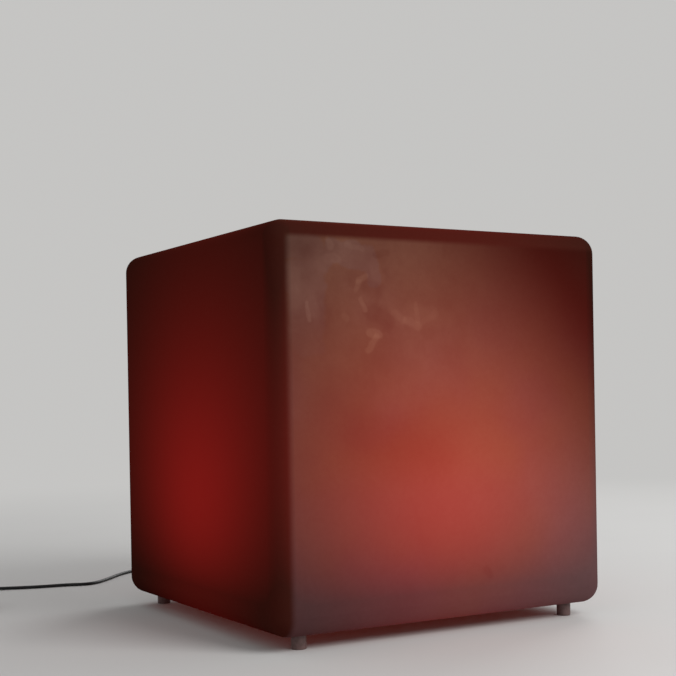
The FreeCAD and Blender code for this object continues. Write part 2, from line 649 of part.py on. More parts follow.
def make_components():
    """Chips, an inductor, capacitors and the two wire headers, soldered to the board's top."""
    middle = (BOARD_LOW_X + BOARD_HIGH_X) / 2
    chips = [
        square(middle, share * BOARD_HALF_LENGTH, CHIP_SIZE, BOARD_TOP, BOARD_TOP + CHIP_HEIGHT)
        for share in CHIP_PLACES
    ]
    coil_y = COIL_PLACE * BOARD_HALF_LENGTH
    inductor = cylinder(COIL_RADIUS, BOARD_TOP, BOARD_TOP + COIL_HEIGHT, middle, coil_y)
    offset = CAPACITOR_RADIUS + CAPACITOR_GAP / 2
    capacitor_y = CAPACITOR_PLACE * BOARD_HALF_LENGTH
    capacitor_top = BOARD_TOP + CAPACITOR_HEIGHT
    capacitors = [
        cylinder(CAPACITOR_RADIUS, BOARD_TOP, capacitor_top, middle + dx, capacitor_y)
        for dx in (-offset, offset)
    ]
    low_y, high_y = cell_wires_y - HEADER_WIDTH / 2, cell_wires_y + HEADER_WIDTH / 2
    battery = block(*battery_header, low_y, high_y, BOARD_TOP, BOARD_TOP + HEADER_HEIGHT)
    output = block(*header_x, *header_y, BOARD_TOP, BOARD_TOP + HEADER_HEIGHT)
    led_side = block(*header_x, *header_y, PLATE_LOW, LED_BOARD_LOW)
    return chips + [inductor] + capacitors + [battery, output, led_side]


def make_led_wires():
    first = LED_WIRES_Y - LED_WIRE_SPACING * (LED_WIRE_COUNT - 1) / 2
    places = [(LED_WIRES_X, first + k * LED_WIRE_SPACING) for k in range(LED_WIRE_COUNT)]
    return [cylinder(LED_WIRE_RADIUS, BOARD_TOP + HEADER_HEIGHT, PLATE_LOW, x, y) for x, y in places]


def make_battery_wires():
    start = TRAY_HIGH_X + TRAY_WALL
    length = battery_header[0] - start
    starts = [V(start, cell_wires_y + side * CELL_WIRE_SPACING / 2, cell_wire_z) for side in (-1, 1)]
    return [Part.makeCylinder(CELL_WIRE_RADIUS, length, at, V(1, 0, 0)) for at in starts]


def make_button():
    cap = cylinder(BUTTON_RADIUS, button_face, lip_top, BUTTON_X, BUTTON_Y)
    cap = cap.makeFillet(BUTTON_ROUNDING, edges_at(cap, button_face))
    lip = cylinder(BUTTON_RADIUS + BUTTON_LIP, lip_low, lip_top, BUTTON_X, BUTTON_Y)
    stem = cylinder(PLUNGER_RADIUS, lip_top, plunger_low, BUTTON_X, BUTTON_Y)
    dish_middle = V(BUTTON_X, BUTTON_Y, button_face + BUTTON_DISH - BUTTON_DISH_RADIUS)
    dish = Part.makeSphere(BUTTON_DISH_RADIUS, dish_middle)
    return joined([cap, lip, stem]).cut(dish)


def make_jack():
    """A round neck in the cover, a square body under the board, and the bore that takes the plug."""
    body = square(JACK_X, JACK_Y, JACK_BODY, COVER_TOP, BOARD_LOW)
    neck = cylinder(JACK_NECK_RADIUS, UNIT_FACE, COVER_TOP, JACK_X, JACK_Y)
    bore = cylinder(JACK_BORE_RADIUS, UNIT_FACE, jack_bore_top, JACK_X, JACK_Y)
    return joined([body, neck]).cut(bore)


def make_light_pipe():
    """A clear rod from the cover's face to the status LED, with a collar that rests on the cover."""
    collar_top = COVER_TOP + LIGHT_COLLAR
    pipe = cylinder(LIGHT_RADIUS, UNIT_FACE, status_led_low - RUN_GAP, LIGHT_X, LIGHT_Y)
    collar = cylinder(LIGHT_RADIUS + LIGHT_COLLAR, COVER_TOP, collar_top, LIGHT_X, LIGHT_Y)
    return joined([pipe, collar])


save("control_board", make_board())
save("board_components", *make_components())
save("board_screws", *[
    screw(x, y, BOARD_TOP, POST_SCREW_LENGTH, M2_RADIUS, M2_HEAD_RADIUS, M2_HEAD_HEIGHT, up=-1)
    for x, y in post_places
])
save("led_wires", *make_led_wires())
save("battery_wires", *make_battery_wires())
save("charge_jack", make_jack())
save("jack_pin", cylinder(JACK_PIN_RADIUS, jack_bore_top - JACK_PIN_LENGTH, jack_bore_top, JACK_X, JACK_Y))
save("button_switch", make_switch())
save("switch_plunger", cylinder(PLUNGER_RADIUS, plunger_low, plunger_top, BUTTON_X, BUTTON_Y))
save("power_button", make_button())
save("light_pipe", make_light_pipe())
save("status_led", square(LIGHT_X, LIGHT_Y, STATUS_LED_SIZE, status_led_low, BOARD_LOW))

# ================================================================ swivelling cover of the jack
port_cover_top = UNIT_FACE - RUN_GAP
port_cover_low = port_cover_top - PORT_COVER_THICKNESS
pivot_seat = port_cover_low - RUN_GAP


def make_port_cover():
    """A flat rubber arm and disc, swung clear of the jack because the plug is in."""
    disc_x = PIVOT_X + PORT_COVER_ARM
    half = PORT_COVER_ARM_WIDTH / 2
    bore = PIVOT_SHOULDER_RADIUS + PIVOT_GAP
    hub = cylinder(PORT_COVER_HUB, port_cover_low, port_cover_top, PIVOT_X, PIVOT_Y)
    arm = block(PIVOT_X, disc_x, PIVOT_Y - half, PIVOT_Y + half, port_cover_low, port_cover_top)
    disc = cylinder(PORT_COVER_RADIUS, port_cover_low, port_cover_top, disc_x, PIVOT_Y)
    return joined([hub, arm, disc]).cut(cylinder(bore, port_cover_low, port_cover_top, PIVOT_X, PIVOT_Y))


def make_pivot_screw():
    thread = cylinder(M2_RADIUS, UNIT_FACE, UNIT_FACE + PIVOT_THREAD_LENGTH, PIVOT_X, PIVOT_Y)
    shoulder = cylinder(PIVOT_SHOULDER_RADIUS, pivot_seat, UNIT_FACE, PIVOT_X, PIVOT_Y)
    head_low = pivot_seat - PIVOT_HEAD_HEIGHT
    head = cylinder(PIVOT_HEAD_RADIUS, head_low, pivot_seat, PIVOT_X, PIVOT_Y)
    half = PIVOT_SLOT_WIDTH / 2
    x_low, x_high = PIVOT_X - PIVOT_HEAD_RADIUS, PIVOT_X + PIVOT_HEAD_RADIUS
    slot_top = head_low + PIVOT_HEAD_HEIGHT / 2
    slot = block(x_low, x_high, PIVOT_Y - half, PIVOT_Y + half, head_low, slot_top)
    return joined([thread, shoulder, head]).cut(slot)


save("port_cover", make_port_cover())
save("port_cover_screw", make_pivot_screw())

# ================================================================ charging plug
plug_axis_z = UNIT_FACE - PLUG_DROP
plug_low = plug_axis_z - PLUG_ARM_RADIUS
arm_end = JACK_Y + PLUG_ARM_LENGTH
relief_tip = arm_end + RELIEF_LENGTH


def make_plug():
    head = cylinder(PLUG_HEAD_RADIUS, plug_low, UNIT_FACE, JACK_X, JACK_Y)
    head = head.makeFillet(PLUG_ROUNDING, edges_at(head, plug_low))
    arm = rod_along_y(PLUG_ARM_RADIUS, JACK_Y, arm_end, JACK_X, plug_axis_z)
    return joined([head, arm])


def make_relief(x, y_root, length, z):
    """A tapered sleeve along +Y, with evenly spaced grooves that let it bend."""
    along = V(0, 1, 0)
    root, tip = RELIEF_ROOT_RADIUS, RELIEF_TIP_RADIUS
    sleeve = Part.makeCone(root, tip, length, V(x, y_root, z), along)
    step = length / (RELIEF_GROOVES + 1)
    for k in range(RELIEF_GROOVES):
        start = (k + 1) * step - RELIEF_GROOVE_WIDTH / 2
        at = V(x, y_root + start, z)
        core = root + (tip - root) * start / length - RELIEF_GROOVE_DEPTH
        groove = Part.makeCylinder(root, RELIEF_GROOVE_WIDTH, at, along)
        groove = groove.cut(Part.makeCylinder(core, RELIEF_GROOVE_WIDTH, at, along))
        sleeve = sleeve.cut(groove)
    return sleeve


barrel_top = UNIT_FACE + BARREL_LENGTH
save("dc_plug", make_plug())
save("dc_plug_barrel", ring(BARREL_RADIUS, BARREL_BORE_RADIUS, UNIT_FACE, barrel_top, JACK_X, JACK_Y))
save("dc_plug_relief", make_relief(JACK_X, arm_end, RELIEF_LENGTH, plug_axis_z))

# ================================================================ lead's route
on_floor = LEAD_RADIUS + FLOOR_GAP
coil_low = LEAD_RADIUS + FLOOR_GAP + TIE_THICKNESS
pitch = 2 * LEAD_RADIUS + TURN_GAP
coil_high = coil_low + pitch
coil_entry = V(COIL_X + COIL_LEAD_IN, COIL_Y + COIL_START_RADIUS, coil_low)

# Out of the plug, down to the floor under the lamp, out under the rear edge, round behind the
# lamp and into view on its left, then away to the left.
lead_points = [
    V(JACK_X, relief_tip, plug_axis_z),
    V(JACK_X, 78.0, plug_axis_z),
    V(9.5, 96.0, 5.0),
    V(8.0, 122.0, on_floor),
    V(2.0, 160.0, on_floor),
    V(-2.0, 206.0, on_floor),
    V(3.0, 258.0, on_floor),
    V(11.0, 312.0, on_floor),
    V(10.0, 366.0, on_floor),
    V(-8.0, 418.0, on_floor),
    V(-43.0, 457.0, on_floor),
    V(-83.0, 466.0, on_floor),
    V(-121.0, 438.0, on_floor),
    V(-153.0, 399.0, on_floor),
    V(-186.0, 367.0, on_floor),
    V(-217.0, 381.0, on_floor),
    V(-255.0, 385.0, on_floor),
    V(-290.0, 398.0, on_floor),
    V(-319.0, COIL_Y + COIL_START_RADIUS, coil_low),
    coil_entry,
]

ARC_SHARE = 0.45         # share of the shorter run that an arc takes up at a corner
GAP_SAMPLE = 1.5         # spacing of the points that the least gap is measured on


def arc_by_corner(start, corner, end):
    """The arc from start to end whose tangents there meet at corner."""
    turn = (corner - start).getAngle(end - corner)
    weight = math.cos(turn / 2)
    middle = (start + corner * (2 * weight) + end) * (1 / (2 + 2 * weight))
    return Part.Arc(start, middle, end).toShape()


def route(points):
    """Straight runs joined by tangent arcs, and the radius of each arc."""
    edges = []
    radii = []
    here = points[0]
    for before, corner, after in zip(points, points[1:], points[2:]):
        into = corner - before
        out = after - corner
        reach = ARC_SHARE * min(into.Length, out.Length)
        turn = into.getAngle(out)
        start = corner - V(into).normalize() * reach
        end = corner + V(out).normalize() * reach
        edges += [Part.LineSegment(here, start).toShape(), arc_by_corner(start, corner, end)]
        radii.append(reach / math.tan(turn / 2))
        here = end
    edges.append(Part.LineSegment(here, points[-1]).toShape())
    return edges, radii


def tube(edges):
    """A round tube along edges that join smoothly, and its length."""
    path = Part.Wire(edges)
    start = edges[0].valueAt(edges[0].FirstParameter)
    heading = edges[0].tangentAt(edges[0].FirstParameter)
    section = Part.Wire(Part.makeCircle(LEAD_RADIUS, start, heading))
    return path.makePipeShell([section], True, False), sum(e.Length for e in edges)


def report_tube(name, solid, length, radii):
    share = solid.Volume / (math.pi * LEAD_RADIUS ** 2 * length)
    print(f"{name}: length {length:.1f}, volume share {share:.4f}, valid {solid.isValid()}")
    if radii:
        print(f"  radii {[round(r, 1) for r in radii]}")


def place(x, y, z):
    return V(COIL_X + x, COIL_Y + y, z)


def half_turn(side, y_from, y_to, z):
    """Two quarter arcs round one side of the coil. side is -1 for the left, +1 for the right."""
    radius = abs(y_to - y_from) / 2
    middle = (y_from + y_to) / 2
    outer = side * radius
    return [
        arc_by_corner(place(0, y_from, z), place(outer, y_from, z), place(outer, middle, z)),
        arc_by_corner(place(outer, middle, z), place(outer, y_to, z), place(0, y_to, z)),
    ]


def climbing_half_turn(y_from, y_to):
    """The right side's innermost half turn, which rises from the lower layer to the upper one."""
    radius = (y_to - y_from) / 2
    reach = math.hypot(radius, (coil_high - coil_low) / 2)
    start = place(0, y_from, coil_low)
    end = place(0, y_to, coil_high)
    first = start + V(reach, 0, 0)
    last = end + V(reach, 0, 0)
    middle = (first + last) * 0.5
    return [arc_by_corner(start, first, middle), arc_by_corner(middle, last, end)]


def coil_edges():
    """Spirals in on the lower layer, climbs at the middle, and spirals out on the upper layer."""
    y = COIL_START_RADIUS
    radius = COIL_START_RADIUS
    edges = [Part.LineSegment(coil_entry, place(0, y, coil_low)).toShape()]
    side = -1
    for _ in range(HALF_TURNS_IN):
        y_to = y + side * 2 * radius
        edges += half_turn(side, y, y_to, coil_low)
        y = y_to
        side = -side
        radius -= pitch / 2
    y_to = y + 2 * radius
    edges += climbing_half_turn(y, y_to)
    y = y_to
    side = -1
    radius += pitch / 2
    for _ in range(HALF_TURNS_OUT):
        y_to = y + side * 2 * radius
        edges += half_turn(side, y, y_to, coil_high)
        y = y_to
        side = -side
        radius += pitch / 2
    end = place(-radius, y - radius, coil_high)
    edges.append(arc_by_corner(place(0, y, coil_high), place(-radius, y, coil_high), end))
    away = end - V(0, COIL_LEAD_IN, 0)
    edges.append(Part.LineSegment(end, away).toShape())
    return edges, away


def least_self_gap(edges):
    """Least gap between stretches of the tube that are well apart along it, measured on points."""
    points = [p for e in edges for p in e.discretize(Distance=GAP_SAMPLE)[:-1]]
    along = [0.0]
    for a, b in zip(points, points[1:]):
        along.append(along[-1] + a.distanceToPoint(b))
    apart = 3 * pitch
    return min(
        points[i].distanceToPoint(points[j])
        for i in range(len(points))
        for j in range(i)
        if along[i] - along[j] > apart
    ) - 2 * LEAD_RADIUS


def make_tie():
    """A strap round the turns at the coil's right side, with its free end lying on top."""
    inner_turn = COIL_START_RADIUS - pitch * HALF_TURNS_IN / 2
    outer_turn = COIL_START_RADIUS - pitch / 2
    middle_y = COIL_Y - pitch / 2
    sag = TIE_WIDTH ** 2 / (8 * inner_turn)
    x_low = COIL_X + inner_turn - LEAD_RADIUS - sag - SEAT_GAP
    x_high = COIL_X + outer_turn + LEAD_RADIUS + SEAT_GAP
    z_low = coil_low - LEAD_RADIUS - SEAT_GAP
    z_high = coil_high + LEAD_RADIUS + SEAT_GAP
    y_low, y_high = middle_y - TIE_WIDTH / 2, middle_y + TIE_WIDTH / 2
    inset = TIE_TAB_INSET
    t = TIE_THICKNESS
    outer = block(x_low - t, x_high + t, y_low, y_high, z_low - t, z_high + t)
    lengthways = [e for e in outer.Edges if e.BoundBox.YLength > TIE_WIDTH / 2]
    outer = outer.makeFillet(t, lengthways)
    strap = outer.cut(block(x_low, x_high, y_low, y_high, z_low, z_high))
    tab_low = z_high + t
    tab = block(x_high - TIE_TAB, x_high - inset, y_low + inset, y_high - inset, tab_low, tab_low + t)
    return joined([strap, tab])


lead_edges, lead_radii = route(lead_points)
lead, lead_length = tube(lead_edges)
report_tube("lead", lead, lead_length, lead_radii)
wound_edges, coil_exit = coil_edges()
wound, wound_length = tube(wound_edges)
report_tube("lead_coil", wound, wound_length, [])
print(f"  least gap between turns {least_self_gap(wound_edges):.2f}")

# The tail goes from the coil to the adapter, which lies beside it.
adapter_axis_z = ADAPTER_HEIGHT / 2
adapter_relief_tip = V(ADAPTER_X, ADAPTER_END_Y + ADAPTER_RELIEF_LENGTH, adapter_axis_z)
tail_points = [
    coil_exit,
    coil_exit - V(0, TAIL_COIL_RUN, 0),
    adapter_relief_tip + V(0, TAIL_ADAPTER_RUN, 0),
    adapter_relief_tip,
]
tail_edges, tail_radii = route(tail_points)
tail, tail_length = tube(tail_edges)
report_tube("lead_tail", tail, tail_length, tail_radii)
print(f"whole lead {lead_length + wound_length + tail_length:.0f}")

save("lead", lead)
save("lead_coil", wound)
save("lead_tail", tail)
save("lead_tie", make_tie())

# ================================================================ wall adapter
adapter_low_y = ADAPTER_END_Y - ADAPTER_LENGTH
adapter_x = (ADAPTER_X - ADAPTER_WIDTH / 2, ADAPTER_X + ADAPTER_WIDTH / 2)
adapter_board_low = ADAPTER_WALL + ADAPTER_POST_HEIGHT
adapter_board_top = adapter_board_low + ADAPTER_BOARD_THICKNESS
pin_places = (ADAPTER_X - ADAPTER_PIN_SPACING / 2, ADAPTER_X + ADAPTER_PIN_SPACING / 2)


def adapter_shell():
    """The whole hollow case, with the two holes for the pins in its far end."""
    x_low, x_high = adapter_x
    w = ADAPTER_WALL
    outer = block(x_low, x_high, adapter_low_y, ADAPTER_END_Y, 0, ADAPTER_HEIGHT)
    outer = outer.makeFillet(ADAPTER_ROUNDING, outer.Edges)
    room = block(x_low + w, x_high - w, adapter_low_y + w, ADAPTER_END_Y - w, w, ADAPTER_HEIGHT - w)
    bore = ADAPTER_PIN_RADIUS + INSERT_GAP
    holes = [rod_along_y(bore, adapter_low_y, adapter_low_y + w, x, adapter_axis_z) for x in pin_places]
    return outer.cut([room] + holes)


def slab(z_low, z_high):
    return block(*adapter_x, adapter_low_y, ADAPTER_END_Y, z_low, z_high)


def make_adapter_base():
    i = ADAPTER_POST_INSET + ADAPTER_WALL
    posts = [
        cylinder(ADAPTER_POST_RADIUS, ADAPTER_WALL, adapter_board_low, x, y)
        for x in (adapter_x[0] + i, adapter_x[1] - i)
        for y in (adapter_low_y + i, ADAPTER_END_Y - i)
    ]
    return joined([adapter_shell().common(slab(0, adapter_axis_z))] + posts)


def make_adapter_board():
    i = ADAPTER_BOARD_INSET
    x_low, x_high = adapter_x[0] + i, adapter_x[1] - i
    y_low, y_high = adapter_low_y + i, ADAPTER_END_Y - i
    return block(x_low, x_high, y_low, y_high, adapter_board_low, adapter_board_top)


def make_adapter_components():
    middle_y = (adapter_low_y + ADAPTER_END_Y) / 2
    transformer = block(
        ADAPTER_X - TRANSFORMER_WIDTH / 2, ADAPTER_X + TRANSFORMER_WIDTH / 2,
        middle_y - TRANSFORMER_LENGTH / 2, middle_y + TRANSFORMER_LENGTH / 2,
        adapter_board_top, adapter_board_top + TRANSFORMER_HEIGHT,
    )
    y = (middle_y + TRANSFORMER_LENGTH / 2 + ADAPTER_END_Y - ADAPTER_WALL) / 2
    offset = SMOOTHING_RADIUS + SMOOTHING_GAP / 2
    top = adapter_board_top + SMOOTHING_HEIGHT
    capacitors = [
        cylinder(SMOOTHING_RADIUS, adapter_board_top, top, ADAPTER_X + dx, y)
        for dx in (-offset, offset)
    ]
    return [transformer] + capacitors


pin_low_y = adapter_low_y - ADAPTER_PIN_LENGTH
pin_high_y = adapter_low_y + ADAPTER_PIN_INSIDE
save("adapter_base", make_adapter_base())
save("adapter_cover", adapter_shell().common(slab(adapter_axis_z, ADAPTER_HEIGHT)))
save("adapter_pins", *[
    rod_along_y(ADAPTER_PIN_RADIUS, pin_low_y, pin_high_y, x, adapter_axis_z) for x in pin_places
])
save("adapter_board", make_adapter_board())
save("adapter_components", *make_adapter_components())
save("adapter_relief", make_relief(ADAPTER_X, ADAPTER_END_Y, ADAPTER_RELIEF_LENGTH, adapter_axis_z))
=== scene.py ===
# %% [markdown]
# # A glowing cube lamp
# The lamp is a hollow cube of milky plastic, 400 mm a side, that stands on four short feet and
# glows red from inside. The CAD model already has every piece in its true place, so this file
# loads it and works on looks: the camera, the lead as one smooth curve, a finish for each piece,
# then the floor, the background and the lamps.

# %% Load the packed model
import bpy
import math
from mathutils import Matrix, Vector


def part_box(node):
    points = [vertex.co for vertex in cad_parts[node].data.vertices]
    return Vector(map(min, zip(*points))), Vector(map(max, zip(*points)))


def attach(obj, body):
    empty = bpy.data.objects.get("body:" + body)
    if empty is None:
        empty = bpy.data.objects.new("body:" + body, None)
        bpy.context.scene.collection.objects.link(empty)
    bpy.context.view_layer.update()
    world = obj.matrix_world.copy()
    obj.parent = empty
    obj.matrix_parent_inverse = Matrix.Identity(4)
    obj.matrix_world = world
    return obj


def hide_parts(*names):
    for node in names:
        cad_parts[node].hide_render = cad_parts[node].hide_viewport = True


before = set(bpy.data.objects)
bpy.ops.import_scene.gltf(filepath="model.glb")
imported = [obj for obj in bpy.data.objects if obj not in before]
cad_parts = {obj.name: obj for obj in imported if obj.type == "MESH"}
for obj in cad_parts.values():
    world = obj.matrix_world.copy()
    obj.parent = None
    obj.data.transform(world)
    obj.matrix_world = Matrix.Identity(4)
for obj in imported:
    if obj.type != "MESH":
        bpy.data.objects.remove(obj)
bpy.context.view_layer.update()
shell_low, shell_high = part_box("cube_shell")
HALF_SIDE = shell_high[0]
SHELL_TOP = shell_high[2]
print("pieces:", len(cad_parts), "shell from", tuple(shell_low), "to", tuple(shell_high))

# %% [markdown]
# ## Camera
# The picture was taken from a little above the middle of the cube's height, about a metre and a
# half away. From there the near edge looks tall, the front and the left side show, and the top
# doesn't. The camera's place, its three turns and its focal length were worked out from the edges
# of the cube. A small shift of the lens puts the cube low in the picture, as there, without
# tilting the upright edges.

# %% Camera
CAMERA_PLACE = Vector((-0.7530, -1.2928, 0.2456))
CAMERA_YAW = math.radians(-30.363)
CAMERA_PITCH = math.radians(-0.398)
CAMERA_ROLL = math.radians(-0.993)
FOCAL_LENGTH = 69.6
LENS_SHIFT = (-0.0249, 0.0967)


def camera_axes(yaw, pitch, roll):
    """Right, up and forward of a camera that looks along +Y when all three turns are zero."""
    level_reach = math.cos(pitch)
    forward = Vector((-math.sin(yaw) * level_reach, math.cos(yaw) * level_reach, math.sin(pitch)))
    level = Vector((math.cos(yaw), math.sin(yaw), 0.0))
    upright = level.cross(forward)
    right = level * math.cos(roll) + upright * math.sin(roll)
    up = upright * math.cos(roll) - level * math.sin(roll)
    return right, up, forward


right, up, forward = camera_axes(CAMERA_YAW, CAMERA_PITCH, CAMERA_ROLL)
lens = bpy.data.cameras.new("camera")
lens.lens = FOCAL_LENGTH
lens.shift_x, lens.shift_y = LENS_SHIFT
camera = bpy.data.objects.new("camera", lens)
turn = Matrix((right, up, -forward)).transposed().to_4x4()
camera.matrix_world = Matrix.Translation(CAMERA_PLACE) @ turn
bpy.context.scene.collection.objects.link(camera)
bpy.context.scene.camera = camera
print("camera at", tuple(camera.location), "lens", lens.lens)

# %% [markdown]
# ## Charging lead
# A lamp like this is charged with a thin round lead. It leaves the plug under the lamp, drops to
# the floor, comes out under the rear edge and wanders round to the left, where it runs out of the
# picture. What is left of it is wound into a neat coil with a tie, next to its wall adapter.
# It could be a mesh tube, but a NURBS curve keeps one smooth centre line and one true thickness.
# The control points are the route of the CAD tube, and the coil's points come from a loop.

# %% Route of the free stretch
LEAD_RADIUS = 0.002
ON_FLOOR = 0.0021
COIL_LOW = 0.0029
COIL_HIGH = 0.0074
free_stretch = [
    (0.0100, 0.060, 0.0110),
    (0.0100, 0.078, 0.0110),
    (0.0095, 0.096, 0.0050),
    (0.0080, 0.122, ON_FLOOR),
    (0.0020, 0.160, ON_FLOOR),
    (-0.0020, 0.206, ON_FLOOR),
    (0.0030, 0.258, ON_FLOOR),
    (0.0110, 0.312, ON_FLOOR),
    (0.0100, 0.366, ON_FLOOR),
    (-0.0080, 0.418, ON_FLOOR),
    (-0.0430, 0.457, ON_FLOOR),
    (-0.0830, 0.466, ON_FLOOR),
    (-0.1210, 0.438, ON_FLOOR),
    (-0.1530, 0.399, ON_FLOOR),
    (-0.1860, 0.367, ON_FLOOR),
    (-0.2170, 0.381, ON_FLOOR),
    (-0.2550, 0.385, ON_FLOOR),
    (-0.2900, 0.398, ON_FLOOR),
    (-0.3190, 0.4036, COIL_LOW),
    (-0.3480, 0.4036, COIL_LOW),
]
print("free stretch:", len(free_stretch), "points")

# %% [markdown]
# The coil lies in two layers. The lead comes in on the outside of the lower one and winds
# inwards, climbs over one half turn, and winds outwards again on top. Half turns about two
# middles, a little apart, give that without a spiral's formula.

# %% Turns of the coil
COIL_MIDDLE = (-0.352, 0.376)
POINTS_PER_HALF_TURN = 8
HALF_TURNS_IN = 5
HALF_TURNS_OUT = 4
START_RADIUS = 0.0276
RADIUS_STEP = 0.00225


def half_turn(side, y_from, y_to, z_from, z_to):
    """Control points round one side of the coil. side is -1 for the left and +1 for the right."""
    radius = abs(y_to - y_from) / 2
    reach = radius / math.cos(math.pi / (2 * POINTS_PER_HALF_TURN))
    middle = (y_from + y_to) / 2
    first = math.copysign(math.pi / 2, y_from - y_to)
    points = []
    for k in range(POINTS_PER_HALF_TURN):
        share = (k + 0.5) / POINTS_PER_HALF_TURN
        angle = first * (1 - 2 * share)
        x = side * reach * math.cos(angle)
        y = middle + reach * math.sin(angle)
        z = z_from + (z_to - z_from) * share
        points.append((COIL_MIDDLE[0] + x, COIL_MIDDLE[1] + y, z))
    return points


turns = []
y_here, radius, side = START_RADIUS, START_RADIUS, -1
for _ in range(HALF_TURNS_IN):
    y_next = y_here + side * 2 * radius
    turns += half_turn(side, y_here, y_next, COIL_LOW, COIL_LOW)
    y_here, side, radius = y_next, -side, radius - RADIUS_STEP
turns += half_turn(1, y_here, y_here + 2 * radius, COIL_LOW, COIL_HIGH)
y_here, side, radius = y_here + 2 * radius, -1, radius + RADIUS_STEP
for _ in range(HALF_TURNS_OUT):
    y_next = y_here + side * 2 * radius
    turns += half_turn(side, y_here, y_next, COIL_HIGH, COIL_HIGH)
    y_here, side, radius = y_next, -side, radius + RADIUS_STEP
last_quarter = half_turn(-1, y_here, y_here - 2 * radius, COIL_HIGH, COIL_HIGH)
turns += last_quarter[:POINTS_PER_HALF_TURN // 2]
print("coil:", len(turns), "points, last turn's radius", round(radius, 5))

# %% Tail to the adapter
ADAPTER_ENTRY = (-0.372, 0.320, 0.015)
tail = [
    (-0.3796, 0.3675, COIL_HIGH),
    (-0.3796, 0.3520, COIL_HIGH),
    (-0.3720, 0.3360, 0.015),
    ADAPTER_ENTRY,
]
print("tail ends at", ADAPTER_ENTRY)

# %% The whole lead as one curve
SMOOTHED_OVER = 3
STEPS_PER_POINT = 8
STEPS_ROUND = 5
lead_line = bpy.data.curves.new("charging_lead", "CURVE")
lead_line.dimensions = "3D"
lead_line.bevel_depth = 1.0  # the radius of each point is then the lead's own
lead_line.bevel_resolution = STEPS_ROUND
lead_line.use_fill_caps = True
spline = lead_line.splines.new("NURBS")
lead_points = free_stretch + turns + tail
spline.points.add(len(lead_points) - 1)
for point, spot in zip(spline.points, lead_points):
    point.co = (*spot, 1.0)
    point.radius = LEAD_RADIUS
spline.order_u = SMOOTHED_OVER
spline.use_endpoint_u = True
spline.resolution_u = STEPS_PER_POINT
lead = bpy.data.objects.new("charging_lead", lead_line)
bpy.context.scene.collection.objects.link(lead)
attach(lead, "lamp")
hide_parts("lead", "lead_coil", "lead_tail")
print("lead:", len(lead_points), "control points")

# %% [markdown]
# ## How a finish is made here
# No picture files are used: every colour and every bit of relief comes from formulas and noise
# that are computed in the object's own coordinates, in metres. Two small helpers keep the node
# trees short enough to read. The first adds one node, fills in its sockets and links whatever is
# given as a socket. The second is a material that can do so too.


# %% A helper that adds nodes
def rgb(red, green, blue):
    return (red, green, blue, 1.0)


class Nodes:
    """A node tree, with a short way to add each kind of node that is needed here."""

    def __init__(self, tree):
        self.tree = tree

    def fill(self, socket, value):
        """Links another node's output, or sets a plain value."""
        if isinstance(value, bpy.types.NodeSocket):
            self.tree.links.new(value, socket)
        else:
            socket.default_value = value

    def add(self, kind, inputs=None, **settings):
        node = self.tree.nodes.new(kind)
        for key, value in settings.items():
            setattr(node, key, value)
        for key, value in (inputs or {}).items():
            self.fill(node.inputs[key], value)
        return node

    def math(self, operation, *values, clamp=False):
        inputs = dict(enumerate(values))
        return self.add("ShaderNodeMath", inputs, operation=operation, use_clamp=clamp).outputs[0]

    def product(self, first, *others):
        for other in others:
            first = self.math("MULTIPLY", first, other)
        return first

    def between(self, value, least, most):
        """The value, held between two limits."""
        return self.math("MINIMUM", self.math("MAXIMUM", value, least), most)

    def vector(self, operation, *values):
        """A vector made from vectors."""
        node = self.add("ShaderNodeVectorMath", dict(enumerate(values)), operation=operation)
        return node.outputs["Vector"]

    def measure(self, operation, *values):
        """A number made from vectors: a length, a distance or a dot product."""
        node = self.add("ShaderNodeVectorMath", dict(enumerate(values)), operation=operation)
        return node.outputs["Value"]

    def scaled(self, vector, amount):
        """A vector or a colour times a number."""
        inputs = {0: vector, "Scale": amount}
        return self.add("ShaderNodeVectorMath", inputs, operation="SCALE").outputs["Vector"]

    def smooth(self, value, low, high, to_low=0.0, to_high=1.0):
        """Eases from to_low to to_high while value goes from low to high."""
        inputs = dict(enumerate((value, low, high, to_low, to_high)))
        return self.add("ShaderNodeMapRange", inputs, interpolation_type="SMOOTHSTEP").outputs[0]

    def mix(self, share, first, second):
        """A colour between two. The sockets 6, 7 and 2 are the node's colour ones."""
        inputs = {0: share, 6: first, 7: second}
        return self.add("ShaderNodeMix", inputs, data_type="RGBA").outputs[2]


print("helpers:", ", ".join(name for name in vars(Nodes) if not name.startswith("_")))


